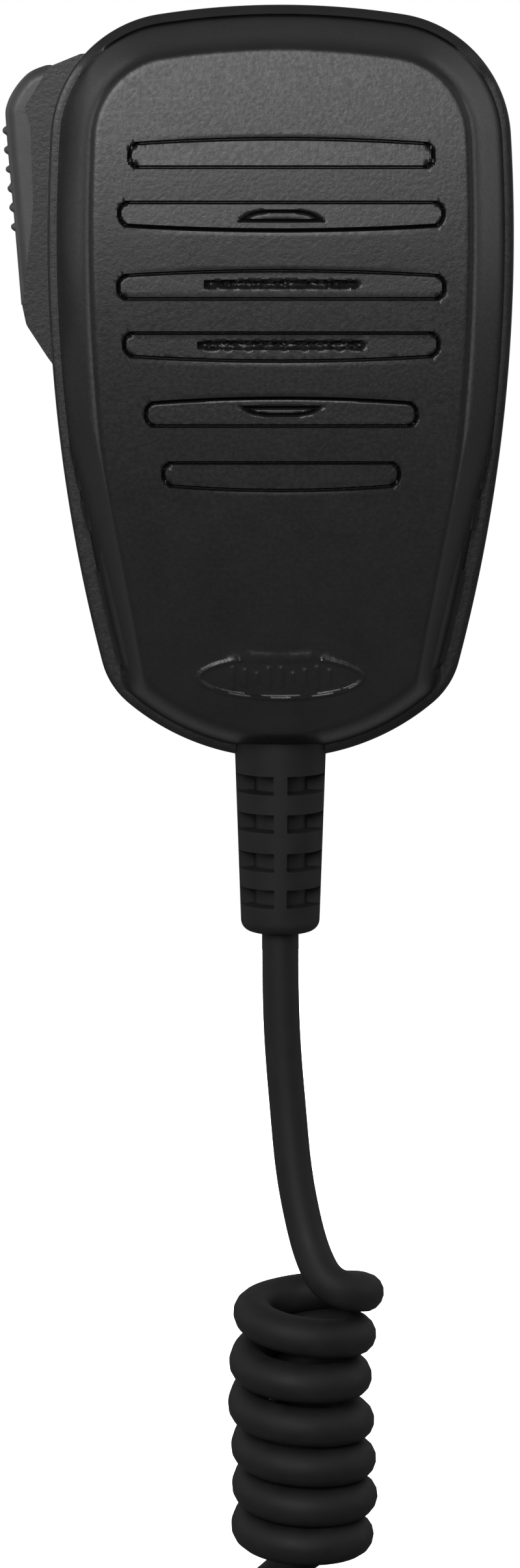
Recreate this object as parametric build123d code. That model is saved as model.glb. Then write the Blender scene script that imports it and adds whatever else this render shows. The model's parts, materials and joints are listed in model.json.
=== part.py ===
"""Hand microphone of a mobile radio: two-part case, push-to-talk lever, capsule, board and curly cord.

Millimetres. +X is right and +Z is up as the microphone hangs, and the speaking face looks towards -Y.
The origin is the centre of the head of the hang-up button on the back of the case.
"""

from build123d import *
import math
import os

# Case: front outline, drawn as arcs in X and Z
TOP_Z = 33.0
HALF_WIDTH = 29.2
WIDEST_Z = 3.0
SIDE_RADIUS = 210.0
TOP_RADIUS = 100.0
CHIN_RADIUS = 30.0
CHIN_CENTRE_Z = -31.4
TOP_CORNER = 16.0
CHIN_CORNER = 10.0

# Case: depth, seen from the side
FRONT_Y = -35.6
BACK_Y = -4.6
SPLIT_Y = -19.0
FACE_RADIUS = 240.0
BACK_RADIUS = 500.0
WALL = 2.0
LIP = 0.8
LIP_DEPTH = 1.2
SHOULDER_TAPER = 15.0
BACK_TAPER = 7.0
BACK_STEP = 0.4
SHOULDER_ROUND = 2.2
GRIP_START = (28.6, -21.0, -12.0)
GRIP_FACE = (24.9, -34.0, -12.0)
GRIP_END = (17.0, -31.0, -50.0)
RIM_BACK_Y = -16.0
BACK_ROUND = 3.0

# How far a cutter runs past the surface that it cuts, and how far past the whole case
PAST = 1.0
WELL_PAST = 8.0

# Sunk bars and sound slots of the face, from the top one down
BAR_CENTRES = [14.4, 7.4, -1.5, -8.4, -17.0, -24.3]
BAR_HALF_LENGTHS = [18.7, 19.9, 20.1, 19.4, 16.8, 14.7]
BAR_HEIGHT = 3.2
BAR_BULGE = 0.65
BAR_DEPTH = 0.6
BAR_CORNER = 1.4
LENS_SLOT_HALF = 5.3
LENS_SLOTS = [(6.4, 1.7), (-15.9, -1.4)]
LONG_SLOTS = [(-1.1, 9.4, 0.9), (-8.5, 10.2, 1.0)]
BADGE_Z = -49.9
BADGE_HALF = (10.5, 3.0)
BADGE_RIM = 0.5
BADGE_PROUD = 0.25

# Push-to-talk lever, in the left wing of the rear case
PIVOT_X = -30.2
PIVOT_Z = -2.6
PIN_RADIUS = 0.8
PIN_FREE = 0.05
PTT_Y = (-17.5, -7.7)
PTT_TOP_Z = 25.6
PTT_BOTTOM_Z = -4.2
PTT_INNER_X = -27.5
PTT_GAP = 0.35
PTT_WALL = 1.2
PTT_ROUND = 1.3
PTT_HOLLOW_Z = (-0.4, 24.2)
WINDOW_INNER_X = -24.4
WING_BACK_Y = -5.6
WING_ROUND = 1.6
RIB_COUNT = 6
RIB_TOP_Z = 17.6
RIB_PITCH = 2.4
RIB_RADIUS = 0.45
RIB_END_GAP = 1.4
LEVER_WIDEST_X = -34.25
LEVER_LEAN = 0.95
STRIKER_X = -33.4
STRIKER_Y = (-14.6, -11.0)
STRIKER_GAP = 0.06

# Switch, plunger and leaf spring behind the lever
SWITCH_X = (-23.6, -17.6)
SWITCH_Y = (-16.4, -10.6)
SWITCH_Z = (9.4, 22.2)
PLUNGER_X = (-25.15, -21.9)
PLUNGER_Y = (-14.3, -12.3)
PLUNGER_Z = (16.0, 18.0)
PLUNGER_FREE = 0.05
PLUNGER_BORE_END_X = -20.0
LEAF_Y = (-15.0, -10.2)
LEAF_THICK = 0.25
LEAF_POINTS = [(-24.6, -3.6), (-24.6, 1.6), (-31.6, 9.6), (-31.9, 11.2)]
LEAF_BENDS = [1.6, 1.0]
LEAF_SLOT_Z = (-3.8, 0.5)
LEAF_POST = ((-25.9, -23.4), (-15.5, -6.0), (-4.2, 0.4))

# Case screws, the brass inserts that they go into, and the posts of both shells
CASE_SCREWS = [(-16.5, 25.5), (16.5, 25.5), (-15.5, -41.0), (15.5, -41.0)]
CASE_SCREW_SEAT_Y = -8.5
CASE_SCREW_END_Y = -25.0
CASE_SCREW_RADIUS = 1.25
CASE_SCREW_HOLE = 1.45
CASE_HEAD_RADIUS = 2.3
CASE_HEAD_HOLE = 2.5
CASE_HEAD_THICK = 1.9
CROSS_SLOT = (2.6, 0.6)
CROSS_SLOT_Y = -7.7
INSERT_Y = (-25.2, -19.2)
INSERT_RADIUS = 1.7
INSERT_HOLE_END_Y = -25.5
FRONT_POST_RADIUS = 2.8
REAR_POST_RADIUS = 3.2

# Small screws, for the board and the bracket
SMALL_SCREW_RADIUS = 0.98
SMALL_SCREW_PILOT = 1.0
SMALL_SCREW_HOLE = 1.05
SMALL_HEAD_RADIUS = 1.9
SMALL_HEAD_THICK = 1.2

# Circuit board, its parts and its connector
BOARD_Y = (-10.6, -9.0)
BOARD_MIDDLE_Z = -5.8
BOARD_SIZE = (42.0, 55.0)
BOARD_CORNER = 2.0
BOARD_SCREWS = [(-11.0, 18.5), (18.5, 17.5), (-17.5, -30.0), (17.5, -30.0)]
BOARD_SCREW_END_Y = -6.9
BOARD_PILOT_END_Y = -6.7
BOARD_POST_RADIUS = 2.4
CHIP_X, CHIP_Z, CHIP_THICK = (-6.0, -1.0), (8.0, 12.0), 1.6
CAPACITORS = [(6.0, 12.0), (12.5, 8.0)]
CAPACITOR_RADIUS, CAPACITOR_HEIGHT = 2.5, 5.4
RESISTORS = [(-12.0, 3.0), (-6.0, 3.0), (0.0, 3.0), (6.0, 1.0), (-12.0, -2.0), (-6.0, -2.0)]
RESISTOR_SIZE = (3.2, 0.6, 1.6)
HEADER_HALF, HEADER_HEIGHT, HEADER_Z = 6.4, 6.0, (-30.5, -25.0)
HEADER_WALL, HEADER_FLOOR, HEADER_MOUTH = 0.8, 2.0, 4.5
WIRE_XS = [-4.2, -1.4, 1.4, 4.2]
WIRE_RADIUS, WIRE_BEND = 0.55, 1.6
WIRE_CORE_OFFSET = (1.05, 1.0)

# Capsule, its axis along Y behind the sound slots
CAPSULE_Z = -5.5
CAPSULE_RADIUS = 12.2
CAPSULE_FRONT_Y = -31.2
CAPSULE_BACK_Y = -22.2
CAN_WALL = 0.6
CAN_HOLE_RADIUS, CAN_HOLE_CIRCLE, CAN_HOLE_COUNT = 1.1, 5.5, 6
GASKET_FRONT_Y, GASKET_RADII = -32.3, (12.8, 10.4)
DIAPHRAGM_Y, DIAPHRAGM_THICK, DIAPHRAGM_RADIUS = -30.0, 0.2, 11.6
VOICE_COIL_BACK_Y, VOICE_COIL_RADII = -26.4, (6.4, 5.9)
MAGNET_Y, MAGNET_RADIUS = (-28.4, -24.0), 5.4
YOKE_RADII = (9.0, 7.0)
BOOT_WALL, BOOT_HOLE = 1.4, 3.0
BRACKET_HALF = 16.6
BRACKET_WIDTH, BRACKET_THICK, BRACKET_HOLE = 6.0, 1.0, 2.4
BRACKET_BOSS_RADIUS, BRACKET_PILOT_END_Y, BRACKET_SCREW_END_Y = 2.3, -27.2, -26.2
CLOTH_SIZE, CLOTH_CORNER, CLOTH_RISE, CLOTH_DEPTHS = (26.0, 28.0), 4.0, 0.5, (0.03, 0.33)

# Hang-up button
BUTTON_RADIUS = 5.5
BUTTON_HALF_THICK = 1.3
BUTTON_EDGE = 0.4
BUTTON_NECK_RADIUS = 3.0
BUTTON_SEAT_Y, BUTTON_SEAT_RADIUS = -4.9, 3.4
BUTTON_SCREW_HOLE, BUTTON_SCREW_RADIUS, BUTTON_SCREW_TIP_Y = 1.5, 1.48, -0.6
BUTTON_THREAD_END_Y, BUTTON_HOLE_END_Y = -0.4, -8.0
BUTTON_SCREW_HEAD_Y, BUTTON_SCREW_HEAD_RADIUS = (-8.7, -7.1), 2.8
WASHER_BACK_Y, WASHER_RADII = -6.62, (3.5, 1.6)

# Cord and strain relief
CORD_Y = SPLIT_Y
CORD_RADIUS = 2.35
RELIEF_TOP_Z = -60.6
RELIEF_BOTTOM_Z = -83.8
RELIEF_RADII = (5.8, 5.0)
RELIEF_SLOT_Z = [-64.4, -69.3, -74.3, -79.0]
RELIEF_SLOT_HEIGHT = 2.2
RELIEF_ROUND = 1.5
RELIEF_CORE_RADIUS = 3.4
RELIEF_WEB_HALF = (0.9, 0.8)
NECK_RADIUS, NECK_Z = 4.9, (-61.0, -56.2)
FLANGE_RADIUS, FLANGE_Z = 6.4, (-58.1, -56.7)
MOUTH_RADIUS, MOUTH_Z = 6.05, (-62.0, -60.0)
NECK_HOLE_RADIUS, NECK_HOLE_Z = 5.1, (-61.0, -55.0)
FLANGE_ROOM_RADIUS, FLANGE_ROOM_Z = 6.6, (-58.2, -56.6)
COLLAR_RADIUS, COLLAR_Z = 8.4, (-59.7, -56.1)
SEAL_INSETS, SEAL_HALF = (0.55, 1.35), 0.4
SEAL_GAP_Z = (-63.0, -57.0)
INNER_END_Z = (-56.0, -49.2)
SADDLE = ((-8.0, 8.0), (SPLIT_Y, -6.0), (-55.0, -50.6))
CLAMP = ((-8.0, 8.0), (-23.0, -19.2), (-54.6, -51.0))
CLAMP_SCREW_X, CLAMP_SCREW_Z, CLAMP_SCREW_RADIUS = 5.6, -52.8, 0.9
CLAMP_SCREW_Y, CLAMP_HOLE_END_Y = (-23.0, -13.2), -13.0
CLAMP_HEAD_RADIUS, CLAMP_HEAD_Y = 1.7, (-24.3, -23.0)
CLAMP_SOCKET_RADIUS, CLAMP_SOCKET_Y = 0.8, -23.7
COIL_RADIUS = 7.0
COIL_X = 2.7
COIL_TOP_Z = -128.8
HANK_BEND_RADIUS = 14.0
HANK_BEND_Z = -228.0
HANK_END_Z = -186.0
TIE_Z = (-206.0, -197.0)
TIE_THICK = 1.2
TIE_SLACK = 0.05

# Plug at the far end of the cord
PLUG_X = 22.2
PLUG_Y = -5.3
PLUG_FRONT_Y = -9.3
PLUG_TOP_Z = -216.0
BOOT_TOP_Z = -209.0
PLUG_SIZE = (11.7, 6.6, 21.5)
PLUG_EDGE = 0.5
BOOT_TOP_SIZE, BOOT_TOP_CORNER = (6.8, 6.4), 3.1
BOOT_LOW_SIZE, BOOT_LOW_CORNER = (9.6, 7.2), 2.0
CONTACT_COUNT = 8
CONTACT_PITCH = 1.02
CONTACT_HALF, CONTACT_SLOT_HALF = 0.18, 0.3
CONTACT_TOP, CONTACT_BOTTOM = 7.0, 0.3
CONTACT_DEPTHS = (0.2, 1.6)
LATCH_BASE_HALF, LATCH_BASE_THICK, LATCH_BASE_Z = 3.1, 1.2, (1.0, 6.3)
LATCH_RADIUS = 0.5
LATCH_WIDTH = 3.2
LATCH_ROOT = (0.75, 7.0)
LATCH_TIP = (3.0, 15.0)

LEAD_ROUTE = [
    (0.0, -19.0, -83.8),
    (0.0, -19.0, -91.0),
    (0.3, -19.1, -99.0),
    (1.0, -19.5, -107.0),
    (1.7, -20.6, -115.0),
    (3.0, -22.2, -122.5),
    (4.6, -23.2, -129.6),
]
TAIL_ROUTE = [
    (23.7, -19.0, -186.9),
    (23.6, -12.8, -186.0),
    (23.4, -7.6, -189.6),
    (22.8, -5.3, -196.0),
    (22.4, -5.2, -202.6),
    (22.2, -5.3, -209.0),
]

parts = {}


def prism(sketch, start_y, end_y, taper=0.0):
    """A solid of an XZ sketch, from start_y to end_y, drawn in by taper degrees on the way."""
    return extrude(Plane.XZ.offset(-start_y) * sketch, amount=start_y - end_y, taper=taper)


def rod(x, z, back_y, front_y, radius):
    """A round bar along Y."""
    return extrude(Plane.XZ.offset(-back_y) * Pos(x, z) * Circle(radius), amount=back_y - front_y)


def pipe(x, z, back_y, front_y, radius, bore):
    """A round bar along Y with a bore right through it."""
    return rod(x, z, back_y, front_y, radius) - rod(x, z, back_y + PAST, front_y - PAST, bore)


def cup(x, z, back_y, front_y, radius, wall):
    """A round cup open at the back, with its floor at the front as thick as its wall."""
    return rod(x, z, back_y, front_y, radius) - rod(x, z, back_y + PAST, front_y + wall, radius - wall)


def upright(z, radius):
    """A round bar along Z, between two z values on the cord's line."""
    return Pos(0, CORD_Y, (z[0] + z[1]) / 2) * Cylinder(radius, z[1] - z[0])


def block(x, y, z):
    """A box between two x, two y and two z values."""
    size = (x[1] - x[0], y[1] - y[0], z[1] - z[0])
    return Pos((x[0] + x[1]) / 2, (y[0] + y[1]) / 2, (z[0] + z[1]) / 2) * Box(*size)


def outline(inset):
    """The front view of the case: two shallow side arcs, a top arc and a rounded chin."""
    sides = Pos(HALF_WIDTH - SIDE_RADIUS, WIDEST_Z) * Circle(SIDE_RADIUS - inset)
    sides &= Pos(SIDE_RADIUS - HALF_WIDTH, WIDEST_Z) * Circle(SIDE_RADIUS - inset)
    top = Pos(0, TOP_Z - TOP_RADIUS) * Circle(TOP_RADIUS - inset)
    chin = Pos(0, CHIN_CENTRE_Z) * Circle(CHIN_RADIUS - inset)
    chin += Pos(0, CHIN_CENTRE_Z + TOP_RADIUS / 2) * Rectangle(2 * (CHIN_RADIUS - inset), TOP_RADIUS)
    shape = sides & top & chin
    shape = fillet([v for v in shape.vertices() if v.Y > 0], TOP_CORNER - inset)
    return fillet([v for v in shape.vertices() if v.Y < CHIN_CENTRE_Z - CHIN_CORNER], CHIN_CORNER - inset)


def side_profile(inset):
    """The case seen from the side, between the bowed face and the bowed back, as a wide slab along X."""
    face = Pos(FRONT_Y + FACE_RADIUS, 0) * Circle(FACE_RADIUS - inset)
    back = Pos(BACK_Y - BACK_RADIUS, 0) * Circle(BACK_RADIUS - inset)
    return extrude(Plane.YZ * (face & back), amount=2 * HALF_WIDTH, both=True)


def grip_facets(inset):
    """The two slanted cuts that leave a finger grip on the lower sides of the front case."""
    cutters = []
    for side in (-1, 1):
        high = Vector(side * GRIP_START[0], *GRIP_START[1:])
        along_face = Vector(side * GRIP_FACE[0], *GRIP_FACE[1:])
        low = Vector(side * GRIP_END[0], *GRIP_END[1:])
        normal = (along_face - high).cross(low - high).normalized()
        if normal.X * side < 0:
            normal = normal * -1
        plane = Plane(origin=high - normal * inset, z_dir=normal)
        cutters.append(extrude(plane * Rectangle(FACE_RADIUS, FACE_RADIUS), amount=HALF_WIDTH))
    return cutters


def front_block(inset):
    """The raised part of the front case and the lip around it, drawn in by inset."""
    lip = prism(outline(inset), SPLIT_Y, SPLIT_Y - LIP_DEPTH)
    plateau = prism(outline(inset + LIP), SPLIT_Y, FRONT_Y - 4 * PAST, SHOULDER_TAPER)
    plateau &= side_profile(inset)
    for cutter in grip_facets(inset):
        plateau -= cutter
    return plateau, lip


def through_face(sketch):
    """A cutter of an XZ sketch that goes right through the bowed face."""
    return prism(sketch, FRONT_Y + WELL_PAST, FRONT_Y - PAST)


def bar_sketch(half, centre, bulge):
    """A long bar with rounded ends, one long side bowed by bulge: upwards if it is positive."""
    top, bottom = centre + BAR_HEIGHT / 2, centre - BAR_HEIGHT / 2
    corners = [(-half, top), (half, top), (half, bottom), (-half, bottom)]
    upper, lower = Line(*corners[0:2]), Line(*corners[2:4])
    if bulge > 0:
        upper = ThreePointArc(corners[0], (0, top + bulge), corners[1])
    else:
        lower = ThreePointArc(corners[2], (0, bottom + bulge), corners[3])
    shape = make_face([upper, Line(*corners[1:3]), lower, Line(corners[3], corners[0])])
    return fillet(shape.vertices(), BAR_CORNER)


def lens_sketch(half, flat_z, bulge):
    """A slot with one straight side at flat_z and the other bowed by bulge."""
    straight = Line((-half, flat_z), (half, flat_z))
    bowed = ThreePointArc((half, flat_z), (0, flat_z + bulge), (-half, flat_z))
    return make_face([straight, bowed])


def badge_ring():
    """The raised rim of the oval badge."""
    return Pos(0, BADGE_Z) * (Ellipse(*BADGE_HALF) - Ellipse(*[half - BADGE_RIM for half in BADGE_HALF]))


def wing_sketch():
    """The wing that carries the push-to-talk lever, as it shows from the front."""
    points = [
        (-18.0, 27.6),
        (-25.0, 27.0),
        (-29.0, 25.4),
        (-32.0, 20.4),
        (-31.3, 18.2),
        (-31.0, 8.0),
        (-32.5, -4.2),
        (-32.0, -6.6),
        (-29.4, -10.6),
        (-24.0, -18.0),
        (-18.0, -18.0),
    ]
    shape = make_face(Polyline(*points, close=True))
    radii = {2: 2.0, 3: 0.6, 4: 0.8, 5: 20.0, 6: 1.2, 7: 2.0, 8: 3.0}
    for index, radius in radii.items():
        corner = shape.vertices().sort_by_distance((*points[index], 0))[0]
        shape = fillet(corner, radius)
    return shape


def lever_sketch(grow, inner_x):
    """The push-to-talk lever from the front, its outside bowed and its top rounded off."""
    top_z, bottom_z = PTT_TOP_Z + grow, PTT_BOTTOM_Z - grow
    bowed = [
        (-28.7 - grow, top_z),
        (-31.8 - grow, 24.1 + grow),
        (-34.2 - grow, 20.6),
        (LEVER_WIDEST_X - grow, 17.4),
        (-33.3 - grow, 5.6),
        (-32.6 - grow, bottom_z),
    ]
    top = Line((inner_x, top_z), bowed[0])
    bottom = Line(bowed[-1], (inner_x, bottom_z))
    inside = Line((inner_x, bottom_z), (inner_x, top_z))
    return make_face([top, Spline(*bowed), bottom, inside])


def cord_tube(route, name):
    """A round tube along straight runs joined by the largest tangent arcs that they allow."""
    points = [Vector(*p) for p in route]
    radii = []
    for before, here, after in zip(points, points[1:], points[2:]):
        turn = math.radians((here - before).get_angle(after - here))
        run = min((here - before).length, (after - here).length)
        radii.append(0.45 * run / math.tan(turn / 2))
    path = FilletPolyline(*points, radius=radii)
    section = Plane(origin=points[0], z_dir=points[1] - points[0]) * Circle(CORD_RADIUS)
    tube = sweep(section, path=path)
    filled = tube.volume / (math.pi * CORD_RADIUS**2 * path.length)
    print(name, "radii", [round(r, 1) for r in radii], "volume / (section x length)", round(filled, 4))
    return tube


# Front case: a tapered plateau on a lip, hollow, with sunk bars, slots, posts and a raised oval rim
plateau, lip = front_block(0.0)
plateau = fillet([e for e in plateau.edges() if e.center().Y < FRONT_Y + WELL_PAST], SHOULDER_ROUND)
hollow, hollow_lip = front_block(WALL)
front_case = plateau + lip - hollow - hollow_lip
below_bars = front_block(BAR_DEPTH)[0]
for index, (centre, half) in enumerate(zip(BAR_CENTRES, BAR_HALF_LENGTHS)):
    bulge = BAR_BULGE if index % 2 == 0 else -BAR_BULGE
    front_case -= through_face(bar_sketch(half, centre, bulge)) - below_bars
for flat_z, bulge in LENS_SLOTS:
    front_case -= through_face(lens_sketch(LENS_SLOT_HALF, flat_z, bulge))
for z, half, height in LONG_SLOTS:
    front_case -= through_face(Pos(0, z) * SlotOverall(2 * half, height))
front_case += (through_face(badge_ring()) & front_block(-BADGE_PROUD)[0]) - hollow
for x, z in CASE_SCREWS:
    front_case += rod(x, z, SPLIT_Y, FRONT_Y, FRONT_POST_RADIUS) & plateau
    front_case -= rod(x, z, SPLIT_Y, INSERT_HOLE_END_Y, INSERT_RADIUS)
boss_back_y = CAPSULE_BACK_Y + BRACKET_THICK
for x in (-BRACKET_HALF, BRACKET_HALF):
    front_case += rod(x, CAPSULE_Z, boss_back_y, FRONT_Y, BRACKET_BOSS_RADIUS) & plateau
    front_case -= rod(x, CAPSULE_Z, boss_back_y, BRACKET_PILOT_END_Y, SMALL_SCREW_PILOT)

# Rear case: a shallower shell with the wing, recessed screws, board posts and the leaf spring's post
rear_outer = prism(outline(BACK_STEP), RIM_BACK_Y, BACK_Y + PAST, BACK_TAPER) & side_profile(0.0)
rear_outer += prism(outline(BACK_STEP), RIM_BACK_Y, SPLIT_Y)
rear_outer = fillet([e for e in rear_outer.edges() if e.center().Y > BOARD_Y[0]], BACK_ROUND)
wing = prism(wing_sketch(), WING_BACK_Y, SPLIT_Y)
wing_rim = [e for e in wing.edges() if e.center().Y > WING_BACK_Y - 0.1 and e.center().X < PLUNGER_X[0]]
wing = fillet(wing_rim, WING_ROUND)
wing &= block((-40, -20), (SPLIT_Y, WING_BACK_Y), (-20, 30))
rear_hollow = prism(outline(BACK_STEP + WALL), SPLIT_Y, BACK_Y + PAST, BACK_TAPER) & side_profile(WALL)
rear_case = rear_outer + wing - rear_hollow
window_y = (PTT_Y[0] - PTT_GAP, PTT_Y[1] + PTT_GAP)
window = prism(lever_sketch(PTT_GAP, WINDOW_INNER_X), window_y[1], window_y[0])
window += block((-40, -33), window_y, (PTT_BOTTOM_Z - PTT_GAP, PTT_TOP_Z + 0.3))
rear_case -= window
rear_case -= rod(PIVOT_X, PIVOT_Z, 0, SPLIT_Y + SEAL_HALF, PIN_RADIUS)
for x, z in CASE_SCREWS:
    rear_case += rod(x, z, BACK_Y + PAST, SPLIT_Y, REAR_POST_RADIUS) & rear_outer
    rear_case -= rod(x, z, BACK_Y + 2 * PAST, CASE_SCREW_SEAT_Y, CASE_HEAD_HOLE)
    rear_case -= rod(x, z, BACK_Y, SPLIT_Y - PAST, CASE_SCREW_HOLE)
for x, z in BOARD_SCREWS:
    rear_case += rod(x, z, BACK_Y, BOARD_Y[1], BOARD_POST_RADIUS) & rear_outer
    rear_case -= rod(x, z, BOARD_PILOT_END_Y, BOARD_Y[1] - PAST, SMALL_SCREW_PILOT)
rear_case += block(*LEAF_POST) & rear_outer
rear_case -= rod(0, 0, 0, BUTTON_SEAT_Y, BUTTON_SEAT_RADIUS)
rear_case -= rod(0, 0, 0, BUTTON_HOLE_END_Y, BUTTON_SCREW_HOLE)

# Collar at the chin: the strain relief's neck sits in a round hole that both shells share
collar = upright(COLLAR_Z, COLLAR_RADIUS)
front_case += (collar & plateau) & block((-10, 10), (-40, SPLIT_Y), (-62, -50))
rear_case += (collar & rear_outer) & block((-10, 10), (SPLIT_Y, 0), (-62, -50))
for z, radius in (
    (MOUTH_Z, MOUTH_RADIUS),
    (NECK_HOLE_Z, NECK_HOLE_RADIUS),
    (FLANGE_ROOM_Z, FLANGE_ROOM_RADIUS),
):
    front_case -= upright(z, radius)
    rear_case -= upright(z, radius)

# Case seal, in a groove that is half in each shell and ends at the cord's neck
seal_sketch = outline(BACK_STEP + SEAL_INSETS[0]) - outline(BACK_STEP + SEAL_INSETS[1])
case_seal = prism(seal_sketch, SPLIT_Y + SEAL_HALF, SPLIT_Y - SEAL_HALF)
front_case -= case_seal
rear_case -= case_seal
parts["case_seal"] = case_seal - upright(SEAL_GAP_Z, FLANGE_ROOM_RADIUS)

# Saddle and clamp that grip the cord inside the chin
cord_inner_end = upright(INNER_END_Z, CORD_RADIUS)
rear_case += block(*SADDLE) & rear_outer
rear_case -= cord_inner_end
clamp = block(*CLAMP) - cord_inner_end
clamp_screws = []
for x in (-CLAMP_SCREW_X, CLAMP_SCREW_X):
    hole = rod(x, CLAMP_SCREW_Z, CLAMP_HOLE_END_Y, CLAMP_HEAD_Y[0], CLAMP_SCREW_RADIUS)
    clamp -= hole
    rear_case -= hole
    screw = rod(x, CLAMP_SCREW_Z, CLAMP_SCREW_Y[1], CLAMP_SCREW_Y[0], CLAMP_SCREW_RADIUS)
    screw += rod(x, CLAMP_SCREW_Z, CLAMP_HEAD_Y[1], CLAMP_HEAD_Y[0], CLAMP_HEAD_RADIUS)
    screw -= rod(x, CLAMP_SCREW_Z, CLAMP_SOCKET_Y, CLAMP_HEAD_Y[0] - PAST, CLAMP_SOCKET_RADIUS)
    clamp_screws.append(screw)
parts["cord_inner_end"] = cord_inner_end
parts["cord_clamp"] = clamp
parts["cord_clamp_screws"] = clamp_screws

# Strain relief: one tapered moulding with a neck, a flange inside and four rows of slots
relief = loft(
    [
        Plane.XY.offset(RELIEF_BOTTOM_Z) * Pos(0, CORD_Y) * Circle(RELIEF_RADII[1]),
        Plane.XY.offset(RELIEF_TOP_Z) * Pos(0, CORD_Y) * Circle(RELIEF_RADII[0]),
    ]
)
relief = fillet(relief.edges().group_by(Axis.Z)[0], RELIEF_ROUND)
relief += upright(NECK_Z, NECK_RADIUS)
relief += upright(FLANGE_Z, FLANGE_RADIUS)
core = upright((RELIEF_BOTTOM_Z, RELIEF_TOP_Z), RELIEF_CORE_RADIUS)
for middle in RELIEF_SLOT_Z:
    slot_z = (middle - RELIEF_SLOT_HEIGHT / 2, middle + RELIEF_SLOT_HEIGHT / 2)
    reach = (-COLLAR_RADIUS, COLLAR_RADIUS)
    webs = block((-RELIEF_WEB_HALF[0], RELIEF_WEB_HALF[0]), (CORD_Y + reach[0], CORD_Y + reach[1]), slot_z)
    webs += block(reach, (CORD_Y - RELIEF_WEB_HALF[1], CORD_Y + RELIEF_WEB_HALF[1]), slot_z)
    relief -= upright(slot_z, COLLAR_RADIUS) - core - webs
parts["strain_relief"] = relief

# Case screws with their brass inserts
case_screws, inserts = [], []
cross = Rectangle(*CROSS_SLOT) + Rectangle(*reversed(CROSS_SLOT))
for x, z in CASE_SCREWS:
    screw = rod(x, z, CASE_SCREW_SEAT_Y, CASE_SCREW_END_Y, CASE_SCREW_RADIUS)
    screw += rod(x, z, CASE_SCREW_SEAT_Y + CASE_HEAD_THICK, CASE_SCREW_SEAT_Y, CASE_HEAD_RADIUS)
    screw -= prism(Pos(x, z) * cross, CASE_SCREW_SEAT_Y + CASE_HEAD_THICK + PAST, CROSS_SLOT_Y)
    case_screws.append(screw)
    inserts.append(pipe(x, z, INSERT_Y[1], INSERT_Y[0], INSERT_RADIUS, CASE_SCREW_RADIUS))
parts["case_screws"] = case_screws
parts["case_inserts"] = inserts

# Push-to-talk lever: a hollow shell with grip ribs and a striker, on a pin through the wing
lever = prism(lever_sketch(0.0, PTT_INNER_X), PTT_Y[1], PTT_Y[0])
middle_y = (PTT_Y[0] + PTT_Y[1]) / 2
outer_edges = [e for e in lever.edges() if e.center().X < -29.0 and abs(e.center().Y - middle_y) > 4]
lever = fillet(outer_edges, PTT_ROUND)
lever_hollow = block((-40, -27), (PTT_Y[0] + PTT_WALL, PTT_Y[1] - PTT_WALL), PTT_HOLLOW_Z)
lever_hollow &= Pos(PTT_WALL, 0, 0) * prism(lever_sketch(0.0, -26.0), PTT_Y[1], PTT_Y[0])
lever -= lever_hollow
for index in range(RIB_COUNT):
    z = RIB_TOP_Z - index * RIB_PITCH
    rib_x = LEVER_WIDEST_X + LEVER_LEAN * ((RIB_TOP_Z - z) / 12.0) ** 1.1
    lever += rod(rib_x, z, PTT_Y[1] - RIB_END_GAP, PTT_Y[0] + RIB_END_GAP, RIB_RADIUS)
lever += block((STRIKER_X, PLUNGER_X[0] - STRIKER_GAP), STRIKER_Y, PLUNGER_Z)
lever -= rod(PIVOT_X, PIVOT_Z, 0, FRONT_Y, PIN_RADIUS + PIN_FREE)
parts["ptt_lever"] = lever
parts["ptt_pivot_pin"] = rod(PIVOT_X, PIVOT_Z, WING_BACK_Y - 0.2, SPLIT_Y + SEAL_HALF, PIN_RADIUS)

# Switch behind the lever, its plunger and the lever's leaf spring
plunger_bore_y = (PLUNGER_Y[0] - PLUNGER_FREE, PLUNGER_Y[1] + PLUNGER_FREE)
plunger_bore_z = (PLUNGER_Z[0] - PLUNGER_FREE, PLUNGER_Z[1] + PLUNGER_FREE)
switch_body = block(SWITCH_X, SWITCH_Y, SWITCH_Z)
switch_body -= block((SWITCH_X[0] - PAST, PLUNGER_BORE_END_X), plunger_bore_y, plunger_bore_z)
parts["ptt_switch_body"] = switch_body
parts["ptt_switch_plunger"] = block(PLUNGER_X, PLUNGER_Y, PLUNGER_Z)
leaf = trace(FilletPolyline(*LEAF_POINTS, radius=LEAF_BENDS), line_width=LEAF_THICK)
parts["ptt_leaf_spring"] = prism(leaf, LEAF_Y[1], LEAF_Y[0])
foot_x = LEAF_POINTS[0][0]
rear_case -= block((foot_x - LEAF_THICK / 2, foot_x + LEAF_THICK / 2), LEAF_Y, LEAF_SLOT_Z)
parts["front_case"] = front_case
parts["rear_case"] = rear_case

# Circuit board with its parts and its screws
board_top_y, board_back_y = BOARD_Y
board = Pos(0, BOARD_MIDDLE_Z) * RectangleRounded(*BOARD_SIZE, BOARD_CORNER)
board = prism(board, board_back_y, board_top_y)
board_screws = []
for x, z in BOARD_SCREWS:
    board -= rod(x, z, board_back_y + PAST, board_top_y - PAST, SMALL_SCREW_HOLE)
    screw = rod(x, z, BOARD_SCREW_END_Y, board_top_y, SMALL_SCREW_RADIUS)
    screw += rod(x, z, board_top_y, board_top_y - SMALL_HEAD_THICK, SMALL_HEAD_RADIUS)
    board_screws.append(screw)
parts["circuit_board"] = board
parts["board_screws"] = board_screws
parts["preamp_chip"] = block(CHIP_X, (board_top_y - CHIP_THICK, board_top_y), CHIP_Z)
parts["board_capacitors"] = [
    rod(x, z, board_top_y, board_top_y - CAPACITOR_HEIGHT, CAPACITOR_RADIUS) for x, z in CAPACITORS
]
width, height, length = RESISTOR_SIZE
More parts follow.
